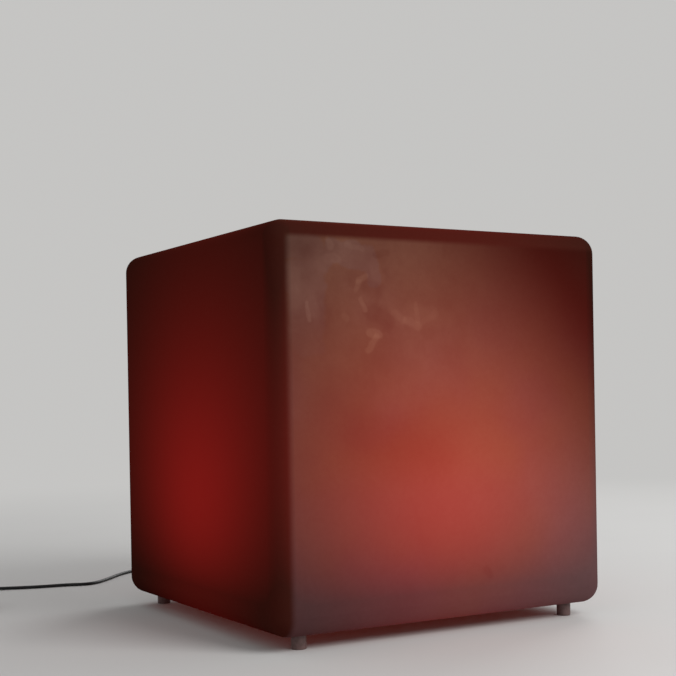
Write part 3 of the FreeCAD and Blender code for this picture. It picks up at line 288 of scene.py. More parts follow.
# %% A helper that makes a finish
class Finish(Nodes):
    """One material: a Principled shader, and nodes that feed it."""

    def __init__(self, name, roughness, metallic=0.0, specular=0.5):
        self.material = bpy.data.materials.new(name)
        self.material.use_nodes = True
        super().__init__(self.material.node_tree)
        self.shader = self.tree.nodes["Principled BSDF"]
        self.shader.inputs["Roughness"].default_value = roughness
        self.shader.inputs["Metallic"].default_value = metallic
        self.shader.inputs["Specular IOR Level"].default_value = specular
        self.place = self.add("ShaderNodeTexCoord").outputs["Object"]

    def noise(self, size, detail=3.0, roughness=0.5, stretch=None):
        """Noise whose lumps are about size metres across, between 0 and 1."""
        place = self.place
        if stretch:
            place = self.add("ShaderNodeMapping", {"Vector": place, "Scale": stretch}).outputs[0]
        inputs = {"Vector": place, "Scale": 1.0 / size, "Detail": detail, "Roughness": roughness}
        return self.add("ShaderNodeTexNoise", inputs).outputs[0]

    def patches(self, size, edges, detail=3.0, roughness=0.5):
        """Soft patches about size metres across: 0 up to the first edge, 1 from the second on."""
        return self.smooth(self.noise(size, detail, roughness), *edges)

    def colour(self, value):
        self.fill(self.shader.inputs["Base Color"], value)

    def gloss(self, pattern, edges, smoothest, roughest):
        """Lets the roughness follow a pattern."""
        rough = self.smooth(pattern, *edges, smoothest, roughest)
        self.fill(self.shader.inputs["Roughness"], rough)

    def bump(self, height, depth):
        """Relief of depth metres from a height that runs from 0 to 1."""
        node = self.add("ShaderNodeBump", {"Height": height, "Distance": depth})
        self.fill(self.shader.inputs["Normal"], node.outputs[0])

    def light(self, colour, strength):
        """Light given off. It is too weak to be worth sampling as a lamp."""
        self.fill(self.shader.inputs["Emission Color"], colour)
        self.fill(self.shader.inputs["Emission Strength"], strength)
        self.material.cycles.emission_sampling = "NONE"

    def on(self, *names):
        """Puts the finish on CAD pieces, in place of the plain one they came with."""
        for name in names:
            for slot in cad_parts[name].material_slots:
                slot.material = self.material
        print(self.material.name, "on", ", ".join(names))


print("and of a finish:", ", ".join(name for name in vars(Finish) if not name.startswith("_")))

# %% [markdown]
# ## Milky shell
# The cube is one rotation moulding of natural polyethylene, a few millimetres thick: matt, a
# little cloudy, with a fine orange-peel skin. Its faint gloss is left out, because mirrored in it
# the pale studio would wash out the left side, which is a deep red in the picture's dark room.
# The wall lets light through but blurs it, so the red light unit in its base shows as one soft
# glow, a third of the way up each side. A true translucent wall would need thousands of samples
# to settle. The glow is instead worked out as a lighting engineer would: light that leaves a
# small upward source and meets a wall weakens with distance, with the slant at which it leaves,
# and with the slant at which it arrives.

# %% Shell: where the light comes from
GLOW_SOURCE = (0.0, 0.0, 0.045)
shell = Finish("milky_shell", roughness=0.5, specular=0.0)
place = shell.place
facing = shell.add("ShaderNodeTexCoord").outputs["Normal"]
from_source = shell.vector("SUBTRACT", place, GLOW_SOURCE)
distance = shell.measure("LENGTH", from_source)
x, y, z = shell.add("ShaderNodeSeparateXYZ", {0: place}).outputs
nx, ny, nz = shell.add("ShaderNodeSeparateXYZ", {0: facing}).outputs
rise = shell.math("MAXIMUM", shell.math("SUBTRACT", z, GLOW_SOURCE[2]), 0.0)
print("glow source at", GLOW_SOURCE)

# %% [markdown]
# Which wall a place belongs to is read from its normal. On a rounded edge the normal turns, so
# what holds for each of the two walls that meet there is averaged over both.

# %% Shell: distance of the wall and share of the light that each side gets
SHARE_OF_SIDES = (0.72, 1.0, 0.62)
LEAST_FACING = 0.01
towards_sides = shell.add("ShaderNodeCombineXYZ", {
    0: shell.math("ABSOLUTE", nx),
    1: shell.math("ABSOLUTE", ny),
    2: shell.math("MAXIMUM", nz, 0.0),
}).outputs[0]
total_facing = shell.measure("DOT_PRODUCT", towards_sides, (1.0, 1.0, 1.0))
total_facing = shell.math("MAXIMUM", total_facing, LEAST_FACING)


def averaged(value_of_sides):
    """What holds at a place, from one value for each pair of sides."""
    total = shell.measure("DOT_PRODUCT", towards_sides, value_of_sides)
    return shell.math("DIVIDE", total, total_facing)


wall_distance = averaged(shell.vector("ABSOLUTE", from_source))
side_share = averaged(SHARE_OF_SIDES)
print("share of the light on left and right, front and back, top:", SHARE_OF_SIDES)

# %% [markdown]
# The rounded edges carry painted shade: more of the glow is taken away there than on the flat
# walls, though less of it low down, so the edges read darker. The total of a normal's parts tells
# how far into an edge a place is: it is 1 on a flat wall and 1.41 in the middle of the rounding.
# Corners are let go no higher.

# %% Shell: glow
UPWARD_LIGHT = 0.0245
SIDEWAYS_LIGHT = 0.0040
LOST_IN_WALL = 0.031
EDGE_SHADE = 0.045
LOW_EDGE_SHADE = 0.3 * EDGE_SHADE
LOW_EDGE = (0.02, 0.14)
MIDDLE_OF_EDGE = 0.42
WEAKEST_GLOW, STRONGEST_GLOW = 0.015, 0.4
# Light thins out with the square of the distance, and a slant counts as a cosine: rise over
# distance where it leaves, wall_distance over distance where it arrives. With both slants the
# distance comes in four times, and with the second one alone three times.
upward = shell.product(rise, wall_distance, UPWARD_LIGHT)
upward = shell.math("DIVIDE", upward, shell.math("POWER", distance, 4.0))
sideways = shell.math("MULTIPLY", wall_distance, SIDEWAYS_LIGHT)
sideways = shell.math("DIVIDE", sideways, shell.math("POWER", distance, 3.0))
# Painted shade in the rounded edges: the glow is taken down there, less so low down.
in_edge = shell.between(shell.math("SUBTRACT", total_facing, 1.0), 0.0, MIDDLE_OF_EDGE)
edge_shade = shell.smooth(z, *LOW_EDGE, LOW_EDGE_SHADE, EDGE_SHADE)
loss_and_edge_shade = shell.math("MULTIPLY_ADD", in_edge, edge_shade, LOST_IN_WALL)
glow = shell.math("SUBTRACT", shell.math("ADD", upward, sideways), loss_and_edge_shade)
glow = shell.between(glow, WEAKEST_GLOW, STRONGEST_GLOW)
print("glow between", WEAKEST_GLOW, "and", STRONGEST_GLOW)

# %% Shell: how the glow leans, and the light under the base
MORE_IN_FRONT = 0.27
NEAR_FLOOR = (0.010, 0.050)
GLOW_AT_FLOOR = 0.72
FACES_DOWN = (-0.95, -1.0)
LIGHT_UNDERNEATH = 0.075
DEEP_RED = rgb(1.0, 0.025, 0.023)
BRICK_RED = rgb(1.0, 0.12, 0.08)
lean = shell.math("MULTIPLY_ADD", y, -MORE_IN_FRONT / HALF_SIDE, 1.0)
# Painted shade near the floor: the glow is taken down on the lowest part of the walls.
near_floor = shell.smooth(z, *NEAR_FLOOR, GLOW_AT_FLOOR, 1.0)
glow = shell.product(glow, lean, side_share, near_floor)
underneath = shell.smooth(nz, *FACES_DOWN)
glow = shell.math("ADD", glow, shell.math("MULTIPLY", underneath, LIGHT_UNDERNEATH))
shell.light(shell.mix(underneath, DEEP_RED, BRICK_RED), glow)
print("glow colour", DEEP_RED[:3], "and underneath", BRICK_RED[:3])

# %% [markdown]
# ### Painted reflection
# On the front, a whitish veil is painted into the colour of the skin: a painted reflection of pale
# room light in the satin face. It ends where the rounding starts, fades in the upper right corner,
# is stronger on the lower rim, and is a little warmer near the top. The left side gets none of it.
# The sides that the picture doesn't show get a weaker one, which is a guess. The painted
# reflection is part of the colour of the skin, so it answers to the lamps, while the glow doesn't.

# %% Shell: how strong the painted reflection is at each place
DIAGONAL_SLOPE = 0.9
DIAGONAL_FADE = (0.205, 0.492)
REFLECTION_IN_CORNER = 0.07
FOOT_FADE = (0.010, 0.130)
REFLECTION_AT_FOOT = 0.79
MORE_TO_RIGHT = 0.32
MORE_TO_TOP = 0.17
PALE_RIM = (0.034, 0.014)
REFLECTION_ON_RIM = 1.5
diagonal = shell.math("MULTIPLY_ADD", z, DIAGONAL_SLOPE, x)
# The whitish veil is a painted reflection of pale room light, carried in the skin's colour.
painted_reflection = shell.product(
    shell.smooth(diagonal, *DIAGONAL_FADE, 1.0, REFLECTION_IN_CORNER),
    shell.smooth(z, *FOOT_FADE, REFLECTION_AT_FOOT, 1.0),
    shell.math("MULTIPLY_ADD", x, MORE_TO_RIGHT / HALF_SIDE, 1.0),
    shell.math("MULTIPLY_ADD", z, MORE_TO_TOP / HALF_SIDE, 1.0 - MORE_TO_TOP),
    shell.smooth(z, *PALE_RIM, 1.0, REFLECTION_ON_RIM),
)
print("haze: fades along a diagonal from", DIAGONAL_FADE[0], "to", DIAGONAL_FADE[1])

# %% Shell: which sides carry the painted reflection
FACES_FRONT = (0.0, 0.2)
EDGE_AT_LEFT = (0.0120, 0.0205)
EDGE_AT_TOP = (0.0135, 0.0205)
OTHER_SIDES = [
    ("right", nx, (0.3, 0.9), 0.55),
    ("back", ny, (0.3, 0.9), 0.40),
    ("top", nz, (0.8, 1.0), 0.25),
]
front = shell.math("MULTIPLY", ny, -1.0)
reflection_mask = shell.product(
    shell.smooth(front, *FACES_FRONT),
    shell.smooth(shell.math("ADD", x, HALF_SIDE), *EDGE_AT_LEFT),
    shell.smooth(shell.math("SUBTRACT", SHELL_TOP, z), *EDGE_AT_TOP),
)
for name, direction, turned_to_it, strength in OTHER_SIDES:
    on_side = shell.smooth(direction, *turned_to_it, 0.0, strength)
    reflection_mask = shell.math("MAXIMUM", reflection_mask, on_side)
    print("haze on the", name, strength)

# %% [markdown]
# ### Clouds, wipe marks and scuffs
# The painted reflection isn't even. It has soft clouds, denser in the upper left, and there the
# front has been rubbed: a short hooked scuff, a few scratches, a smear. These marks are real wear,
# shown as lighter and darker strokes in the painted reflection. Each mark is a soft stroke between
# two points on the face. A little noise bends them all, so that none looks ruled.

# %% Shell: clouds
CLOUD_SIZE = 0.045
CLOUD_DEPTH = 0.18
DEEPER_IN_CORNER = 0.55
CORNER_HEIGHT = (0.20, 0.33)
CORNER_WIDTH = (0.06, -0.04)
DRIFT_SIZE = 0.11
DRIFT_DEPTH = 0.30
in_corner = shell.product(shell.smooth(z, *CORNER_HEIGHT), shell.smooth(x, *CORNER_WIDTH))
cloud_depth = shell.math("MULTIPLY_ADD", in_corner, DEEPER_IN_CORNER, CLOUD_DEPTH)
cloud = shell.noise(CLOUD_SIZE, roughness=0.55)
cloud = shell.product(shell.math("SUBTRACT", cloud, 0.5), cloud_depth)
drift = shell.math("SUBTRACT", shell.noise(DRIFT_SIZE, detail=2.0), 0.5)
marks = shell.math("MULTIPLY_ADD", drift, DRIFT_DEPTH, shell.math("ADD", cloud, 1.0))
print("clouds", CLOUD_SIZE, "and", DRIFT_SIZE, "m across")


# %% Shell: places bent by noise
def wander(lumps_per_metre, detail, reach):
    """A shift within the plane of the front, up to reach metres to each side."""
    inputs = {"Vector": place, "Scale": lumps_per_metre, "Detail": detail}
    shift = shell.add("ShaderNodeTexNoise", inputs).outputs["Color"]
    return shell.vector("MULTIPLY_ADD", shift, (2 * reach, 0.0, 2 * reach), (-reach, 0.0, -reach))


FLATTENED = (1.0, 0.0, 1.0)
BEND_LUMPS, BEND_REACH = 90.0, 0.003
RAGGED_LUMPS, RAGGED_REACH = 42.0, 0.011
bend = wander(BEND_LUMPS, detail=1.0, reach=BEND_REACH)
on_face = shell.vector("MULTIPLY_ADD", place, FLATTENED, bend)
ragged = shell.vector("ADD", on_face, wander(RAGGED_LUMPS, detail=3.0, reach=RAGGED_REACH))
print("marks wander by", BEND_REACH, "m, ragged ones by", RAGGED_REACH, "m more")

# %% Shell: one soft stroke on the front
FACES_FRONT_FULLY = (0.3, 0.6)
only_front = shell.smooth(front, *FACES_FRONT_FULLY)


def stroke(start, end, half_width, soft_share, bent_place):
    """1 along the middle of a stroke between two (x, z) points of the front, 0 past its width."""
    first = Vector((start[0], 0.0, start[1]))
    run = Vector((end[0], 0.0, end[1])) - first
    from_first = shell.vector("SUBTRACT", bent_place, first)
    along = shell.measure("DOT_PRODUCT", from_first, run / run.length_squared)
    along = shell.math("ADD", along, 0.0, clamp=True)
    gap = shell.measure("DISTANCE", from_first, shell.scaled(run, along))
    inside = shell.smooth(gap, (1 - soft_share) * half_width, half_width, 1.0, 0.0)
    return shell.math("MULTIPLY", inside, only_front)


print("a stroke is soft over a share of its width")

# %% Shell: scuffs and wiped places
# Each line has the two ends on the front as (x, z), half the width, and the change of the painted
# reflection.
SCUFFS = [
    ((-0.0950, 0.3058), (-0.0838, 0.3040), 0.0056, 0.34),  # the hook: its bar
    ((-0.0870, 0.3010), (-0.0965, 0.2885), 0.0052, 0.30),  # and its tail
    ((-0.1040, 0.3380), (-0.0991, 0.3267), 0.0036, 0.28),
    ((-0.1633, 0.3327), (-0.1618, 0.3165), 0.0030, 0.30),
    ((-0.1577, 0.3345), (-0.1557, 0.3234), 0.0080, 0.12),
    ((-0.0880, 0.3735), (-0.0835, 0.3590), 0.0090, 0.10),
    ((-0.1060, 0.3560), (-0.0985, 0.3600), 0.0045, 0.22),
    ((-0.1413, 0.3768), (-0.1304, 0.3752), 0.0070, 0.14),
    ((-0.1390, 0.3942), (-0.1364, 0.3880), 0.0050, 0.20),
    ((-0.1190, 0.3900), (-0.1020, 0.3870), 0.0040, 0.14),
    ((-0.1790, 0.3600), (-0.1785, 0.3300), 0.0120, 0.08),
    ((-0.0650, 0.3250), (-0.0545, 0.3180), 0.0055, 0.13),
    ((-0.0520, 0.3190), (-0.0375, 0.3120), 0.0055, 0.20),
    ((-0.0400, 0.3330), (-0.0385, 0.3180), 0.0035, 0.14),
    ((-0.0310, 0.3175), (-0.0175, 0.3250), 0.0050, 0.10),
    ((-0.0631, 0.3240), (-0.0035, 0.3208), 0.0150, 0.08),
    ((-0.1093, 0.3480), (-0.1060, 0.3540), 0.0045, 0.20),
    ((-0.1230, 0.3215), (-0.1203, 0.3191), 0.0045, 0.14),
]
WIPED = [
    ((-0.1139, 0.3595), (-0.1111, 0.3548), 0.0100, -0.10),
    ((-0.0971, 0.3503), (-0.0877, 0.3457), 0.0120, -0.14),
    ((-0.0900, 0.3244), (-0.0748, 0.3181), 0.0150, -0.18),
    ((-0.1475, 0.3362), (-0.1442, 0.3172), 0.0120, -0.08),
    ((-0.0278, 0.3154), (-0.0260, 0.3054), 0.0110, -0.09),
    ((-0.0735, 0.3837), (-0.0870, 0.3824), 0.0050, -0.12),
    ((0.0405, 0.0625), (0.0450, 0.0575), 0.0065, -0.14),
    ((-0.1611, 0.3802), (-0.1597, 0.3613), 0.0140, -0.08),
    ((-0.1850, 0.3950), (-0.1450, 0.3930), 0.0280, -0.22),
]
BROAD = [
    ((-0.1350, 0.2450), (-0.1200, 0.2180), 0.0440, -0.10),
    ((-0.1020, 0.1980), (-0.0250, 0.1850), 0.0460, -0.17),
    ((-0.0620, 0.2480), (-0.0280, 0.2640), 0.0400, 0.14),
    ((0.1250, 0.1600), (0.1700, 0.1300), 0.0420, 0.04),
]
SCUFFS_SOFT, WIPED_SOFT, BROAD_SOFT = 0.6, 0.7, 1.0
for group, soft_share in ((SCUFFS, SCUFFS_SOFT), (WIPED, WIPED_SOFT), (BROAD, BROAD_SOFT)):
    for start, end, half_width, strength in group:
        mark = stroke(start, end, half_width, soft_share, on_face)
        marks = shell.math("MULTIPLY_ADD", mark, strength, marks)
painted_reflection = shell.math("MULTIPLY", painted_reflection, marks)
print(len(SCUFFS), "scuffs,", len(WIPED), "wiped places and", len(BROAD), "broad clouds")

# %% [markdown]
# In the same corner the outermost skin is chalky: a band down the left edge and one under the top
# edge are paler and less red than what lies between them, and they end in ragged edges. They are
# the same strokes, only wider, with a harder edge and bent more by the noise. Their paler colour
# is given to the painted reflection, so they show only where that reflection is.

# %% Shell: chalky patches
CHALKY = [
    ((-0.1660, 0.3560), (-0.1630, 0.3000), 0.0230),
    ((-0.1340, 0.3815), (-0.0980, 0.3790), 0.0150),
    ((-0.0980, 0.3760), (-0.0875, 0.3600), 0.0105),
    ((-0.1520, 0.3700), (-0.1480, 0.3740), 0.0140),
    ((-0.1760, 0.3880), (-0.1600, 0.3880), 0.0170),
]
CHALKY_SOFT_SHARE = 0.28
CHALKY_FADE = (0.29, 0.33)
CHALKY_BELOW, CHALKY_ABOVE = 0.35, 0.8
chalky = 0.0
for start, end, half_width in CHALKY:
    patch = stroke(start, end, half_width, CHALKY_SOFT_SHARE, ragged)
    chalky = shell.math("MAXIMUM", chalky, patch)
chalky = shell.product(chalky, shell.smooth(z, *CHALKY_FADE, CHALKY_BELOW, CHALKY_ABOVE))
print(len(CHALKY), "chalky patches")

# %% [markdown]
# The painted reflection has no single colour. It is bluer low down and browner near the top,
# warmer where the glow shines through it, and greyer on the chalky patches.

# %% Shell: colour
# The skin's base colour is a near-black red: painted shade with painted red light in it, where the
# plastic itself is milky white.
SHADED_SKIN = rgb(0.024, 0.0100, 0.0066)
REFLECTION_LOW = rgb(0.1040, 0.0610, 0.0630)
REFLECTION_HIGH = rgb(0.1040, 0.0590, 0.0380)
LIT_REFLECTION_LOW = rgb(0.1040, 0.0590, 0.0420)
LIT_REFLECTION_HIGH = rgb(0.1040, 0.0580, 0.0320)
REFLECTION_CHALKY = rgb(0.1020, 0.0660, 0.0510)
REFLECTION_TURNS = (0.0, 0.42)
LIT_REFLECTION_TURNS = (0.13, 0.19)
FULLY_LIT = 0.25
MOST_LIT_SHARE = 0.9
DRIFT_OF_LIT = 0.35
reflection_colour = shell.mix(shell.smooth(z, *REFLECTION_TURNS), REFLECTION_LOW, REFLECTION_HIGH)
lit_reflection = shell.mix(shell.smooth(z, *LIT_REFLECTION_TURNS), LIT_REFLECTION_LOW, LIT_REFLECTION_HIGH)
lit_by = shell.math("MULTIPLY_ADD", drift, DRIFT_OF_LIT, glow)
lit_share = shell.smooth(lit_by, 0.0, FULLY_LIT, 0.0, MOST_LIT_SHARE)
reflection_colour = shell.mix(lit_share, reflection_colour, lit_reflection)
reflection_colour = shell.mix(chalky, reflection_colour, REFLECTION_CHALKY)
skin_colour = shell.mix(reflection_mask, SHADED_SKIN, shell.scaled(reflection_colour, painted_reflection))
print("clean skin", SHADED_SKIN[:3])

# %% Shell: skin
PEEL_SIZE = 0.0045
PEEL_TINT = 0.16
PEEL_HEIGHT = 0.7
WAVE_SIZE = 0.03
SKIN_DEPTH = 0.00012
orange_peel = shell.noise(PEEL_SIZE, detail=2.0)
mottle = shell.math("MULTIPLY_ADD", orange_peel, PEEL_TINT, 1.0 - PEEL_TINT / 2)
shell.colour(shell.scaled(skin_colour, mottle))
waves = shell.noise(WAVE_SIZE, detail=1.0)
shell.bump(shell.math("MULTIPLY_ADD", orange_peel, PEEL_HEIGHT, waves), SKIN_DEPTH)
shell.on("cube_shell")

# %% [markdown]
# ## Feet
# The four feet are of the same family of plastic as the shell, whitish and a little translucent.
# Their colour is a dark pinkish grey: painted shade, with painted red light from the cube in it.
# They carry the lamp and are pushed about, so they are scuffed all over. A noise that is stretched
# along the foot gives the faint streaks of a moulded part.

# %% Feet
FOOT_PINK = rgb(0.145, 0.085, 0.080)
FOOT_SCUFFED = rgb(0.105, 0.060, 0.056)
SCUFF_SIZE = 0.004
SCUFF_EDGES = (0.45, 0.70)
FOOT_STREAK_SIZE = 0.003
LONGER_UPWARDS = (1.0, 1.0, 0.3)
FOOT_RELIEF = 0.00008
foot = Finish("foot_plastic", roughness=0.45, specular=0.3)
foot.colour(foot.mix(foot.patches(SCUFF_SIZE, SCUFF_EDGES), FOOT_PINK, FOOT_SCUFFED))
foot.bump(foot.noise(FOOT_STREAK_SIZE, stretch=LONGER_UPWARDS), FOOT_RELIEF)
foot.on("foot_front_left", "foot_front_right", "foot_rear_left", "foot_rear_right")

# %% [markdown]
# ## Plain moulded parts
# Housing, cover and lens ring are white, tray, jack, plug and adapter are black. All come out of
# spark-eroded moulds, which leave an even, very fine grain, and larger parts have a slight cloud
# in the colour where the melt flowed. One function makes all of these, because only their
# colours, their gloss and the size of the grain differ.

# %% Moulded plastic
FLOW_SIZE = 0.03
FLOW_EDGES = (0.35, 0.65)
GRAIN_EDGES = (0.2, 0.8)
GRAIN_GLOSS = 0.06


def moulded(name, light, dark, roughness, grain=0.0009, depth=0.00002):
    finish = Finish(name, roughness, specular=0.4)
    finish.colour(finish.mix(finish.patches(FLOW_SIZE, FLOW_EDGES, detail=2.0), light, dark))
    fine = finish.noise(grain, detail=2.0)
    finish.gloss(fine, GRAIN_EDGES, roughness - GRAIN_GLOSS, roughness + GRAIN_GLOSS)
    finish.bump(fine, depth)
    return finish


white = moulded(
    "white_plastic", rgb(0.66, 0.66, 0.64), rgb(0.60, 0.60, 0.585), roughness=0.5,
)
white.on("unit_housing", "bottom_cover", "lens_ring", "switch_plunger")
black = moulded(
    "black_plastic", rgb(0.022, 0.022, 0.024), rgb(0.030, 0.030, 0.032), roughness=0.45,
)
black.on("battery_tray", "charge_jack", "button_switch", "dc_plug", "adapter_base")
black.on("adapter_cover")
packages = moulded(
    "components", rgb(0.035, 0.035, 0.038), rgb(0.060, 0.060, 0.064), roughness=0.55,
)
packages.on("board_components", "adapter_components")

# %% [markdown]
# ## Rubber and foam
# Seals, the button's cap, the jack's cover and the sleeves are elastomers. They look softer than
# plastic because fine dust clings to them: broad, pale patches over a dark, quite matt ground.
# The foam pad's cells are large enough to see, so it gets small round ones from a Voronoi
# pattern.

# %% Rubber
DUST_SIZE = 0.012
DUST_EDGES = (0.48, 0.75)


def rubber(name, clean, dusty, roughness, grain=0.0007, depth=0.00003):
    finish = Finish(name, roughness, specular=0.3)
    dust = finish.patches(DUST_SIZE, DUST_EDGES, detail=4.0, roughness=0.65)
    finish.colour(finish.mix(dust, clean, dusty))
    finish.bump(finish.noise(grain, detail=1.0), depth)
    return finish


seal = rubber("silicone", rgb(0.27, 0.275, 0.28), rgb(0.33, 0.33, 0.33), roughness=0.6)
seal.on("flange_gasket", "cover_gasket", "lens_gasket")
button = rubber(
    "button_rubber", rgb(0.075, 0.078, 0.082), rgb(0.11, 0.11, 0.11), roughness=0.6,
)
button.on("power_button")
cover = rubber(
    "port_rubber", rgb(0.012, 0.012, 0.013), rgb(0.035, 0.034, 0.033), roughness=0.65,
)
cover.on("port_cover")
sleeve = rubber(
    "lead_sleeve", rgb(0.010, 0.010, 0.011), rgb(0.026, 0.025, 0.025), roughness=0.42,
    grain=0.0015,
)
sleeve.on("dc_plug_relief", "adapter_relief")
lead_line.materials.append(sleeve.material)

# %% Foam
CELLS_PER_METRE = 900.0
CELL_EDGES = (0.1, 0.6)
CELL_DEPTH = 0.0003
FOAM_DARK = rgb(0.010, 0.010, 0.010)
FOAM_LIGHT = rgb(0.022, 0.022, 0.022)
foam = Finish("foam", roughness=0.9, specular=0.2)
cells = foam.add("ShaderNodeTexVoronoi", {"Vector": foam.place, "Scale": CELLS_PER_METRE})
cells = cells.outputs["Distance"]
foam.colour(foam.mix(foam.smooth(cells, *CELL_EDGES), FOAM_DARK, FOAM_LIGHT))
foam.bump(cells, CELL_DEPTH)
foam.on("battery_pad")

# %% [markdown]
# ## Metals
# Screws are stainless steel, inserts are turned brass, contacts and pins are nickel plated and
# the heat spreader is a milled aluminium disc. Turning and milling leave fine circles round the
# part's axis, but each screw is elsewhere, so circles would need an axis for each. Short streaks
# in the plane of the part look the same at this size and need only a stretched noise.

# %% Metal
TARNISH_SIZE = 0.006
TARNISH_EDGES = (0.40, 0.75)
STREAK_SIZE = 0.0012
STREAK_EDGES = (0.3, 0.7)
STREAK_DEPTH = 0.00001
SMOOTHER_BY, ROUGHER_BY = 0.07, 0.09
FLAT_STREAKS = (1.0, 1.0, 6.0)
STREAKS_ONE_WAY = (8.0, 1.0, 1.0)


def metal(name, bright, dull, roughness, stretch=FLAT_STREAKS):
    finish = Finish(name, roughness, metallic=1.0)
    finish.colour(finish.mix(finish.patches(TARNISH_SIZE, TARNISH_EDGES), bright, dull))
    streaks = finish.noise(STREAK_SIZE, detail=2.0, stretch=stretch)
    finish.gloss(streaks, STREAK_EDGES, roughness - SMOOTHER_BY, roughness + ROUGHER_BY)
    finish.bump(streaks, STREAK_DEPTH)
    return finish


steel = metal("steel", rgb(0.56, 0.56, 0.57), rgb(0.43, 0.43, 0.43), roughness=0.30)
steel.on("foot_screws", "flange_screws", "cover_screws", "plate_screws", "lens_screws")
steel.on("board_screws", "port_cover_screw")
brass = metal("brass", rgb(0.60, 0.42, 0.15), rgb(0.42, 0.29, 0.11), roughness=0.32)
brass.on("foot_inserts", "flange_inserts")
nickel = metal("nickel", rgb(0.60, 0.58, 0.54), rgb(0.50, 0.48, 0.44), roughness=0.22)
nickel.on("battery_contacts", "jack_pin", "dc_plug_barrel", "adapter_pins")
milled = metal(
    "aluminium_plate", rgb(0.68, 0.69, 0.70), rgb(0.58, 0.59, 0.60), roughness=0.35,
    stretch=STREAKS_ONE_WAY,
)
milled.on("led_plate")

# %% [markdown]
# ## Circuit boards
# A board is glass-fibre laminate under a coloured lacquer. Copper tracks under the lacquer show
# as slightly lighter, slightly raised lines that run in straight stretches. A brick pattern whose
# bricks are turned into wide bars and thin gaps gives such lines without drawing a circuit.

# %% Boards
TRACK_WIDTH = 0.12
BAR_LENGTH = 4.0
TRACK_HEIGHT = 0.00004
LACQUER_CLOUD_SIZE = 0.004
LACQUER_CLOUDS = 0.25


def lacquered_board(name, lacquer, track, pitch):
    """pitch is the distance between tracks in metres. Their width and length are shares of it."""
    finish = Finish(name, roughness=0.35, specular=0.5)
    inputs = {
        "Vector": finish.place, "Scale": 1.0, "Row Height": pitch,
        "Brick Width": BAR_LENGTH * pitch, "Mortar Size": TRACK_WIDTH * pitch,
        "Mortar Smooth": 0.2,
    }
    bars = finish.add("ShaderNodeTexBrick", inputs, offset=0.37, squash=1.6).outputs["Fac"]
    clouds = finish.noise(LACQUER_CLOUD_SIZE)
    cloudy = finish.math("MULTIPLY_ADD", clouds, LACQUER_CLOUDS, bars)
    finish.colour(finish.mix(cloudy, lacquer, track))
    finish.bump(bars, TRACK_HEIGHT)
    return finish


green_board = lacquered_board(
    "circuit_board", rgb(0.012, 0.085, 0.030), rgb(0.030, 0.150, 0.055), pitch=0.0025,
)
green_board.on("control_board", "adapter_board")
white_board = lacquered_board(
    "led_board_white", rgb(0.70, 0.70, 0.68), rgb(0.60, 0.60, 0.58), pitch=0.0060,
)
white_board.on("led_board")

# %% [markdown]
# ## Parts that give or carry light
# The LEDs are resin windows, lit red. The dome over them is frosted, so it glows softly and a
# little unevenly all over. The status lamp is green and the little guide above it is clear. All
# but the guide's end are inside, so their light is kept low: it shows in a cutaway, and it isn't
# what lights the shell.

# %% Lamps of the light unit
RESIN_EDGES = (0.3, 0.7)
RESIN_TINT = 0.15
RESIN_RELIEF = 0.00003


def lit(name, surface, light, weakest, strongest, speckle, roughness=0.35):
    finish = Finish(name, roughness)
    cloudy = finish.patches(speckle, RESIN_EDGES, detail=1.0)
    tint = finish.math("MULTIPLY_ADD", cloudy, RESIN_TINT, 1.0 - RESIN_TINT)
    finish.colour(finish.scaled(surface[:3], tint))
    strength = finish.math("MULTIPLY_ADD", cloudy, strongest - weakest, weakest)
    finish.light(light, strength)
    finish.bump(finish.noise(speckle / 3), RESIN_RELIEF)
    return finish


led_body = lit(
    "led_body", rgb(0.80, 0.06, 0.04), light=rgb(1.0, 0.06, 0.03),
    weakest=0.8, strongest=1.2, speckle=0.002,
)
led_body.on("leds")
frosted = lit(
    "frosted_lens", rgb(0.62, 0.50, 0.48), light=rgb(1.0, 0.10, 0.06),
    weakest=0.25, strongest=0.45, speckle=0.03, roughness=0.6,
)
frosted.on("dome_lens")
green_led = lit(
    "green_led", rgb(0.10, 0.55, 0.15), light=rgb(0.1, 1.0, 0.2),
    weakest=0.3, strongest=0.4, speckle=0.001,
)
green_led.on("status_led")

# %% Light guide
GUIDE_CLEAR = rgb(0.42, 0.52, 0.44)
GUIDE_HAZY = rgb(0.52, 0.60, 0.53)
GUIDE_HAZE_SIZE = 0.0015
GUIDE_GRAIN_SIZE = 0.001
GUIDE_RELIEF = 0.00002
guide = Finish("light_pipe_clear", roughness=0.12)
guide.colour(guide.mix(guide.patches(GUIDE_HAZE_SIZE, RESIN_EDGES), GUIDE_CLEAR, GUIDE_HAZY))
guide.bump(guide.noise(GUIDE_GRAIN_SIZE), GUIDE_RELIEF)
guide.on("light_pipe")

# %% [markdown]
# ## Cells, wires and strap
# Each cell has a shrink sleeve, with fine wrinkles that run round it. The wires have smooth,
# coloured insulation. The tie round the coil is a hook and loop strap: woven, so two sets of fine
# waves cross each other and give both the weave's relief and its lighter threads.

# %% Cells and wires
CELL_BLUE = rgb(0.018, 0.080, 0.190)
CELL_PALER_BLUE = rgb(0.028, 0.110, 0.250)
WRINKLE_SIZE = 0.004
LONGER_ACROSS = (0.25, 1.0, 1.0)
WRINKLE_DEPTH = 0.00008
cell_sleeve = Finish("cell_sleeve", roughness=0.28)
wrinkle = cell_sleeve.noise(WRINKLE_SIZE, detail=2.0, stretch=LONGER_ACROSS)
cell_sleeve.colour(cell_sleeve.mix(wrinkle, CELL_BLUE, CELL_PALER_BLUE))
cell_sleeve.bump(wrinkle, WRINKLE_DEPTH)
cell_sleeve.on("battery_cells")
wires = moulded(
    "wire_sleeve", rgb(0.40, 0.020, 0.015), rgb(0.30, 0.014, 0.012), roughness=0.35,
)
wires.on("led_wires", "battery_wires")

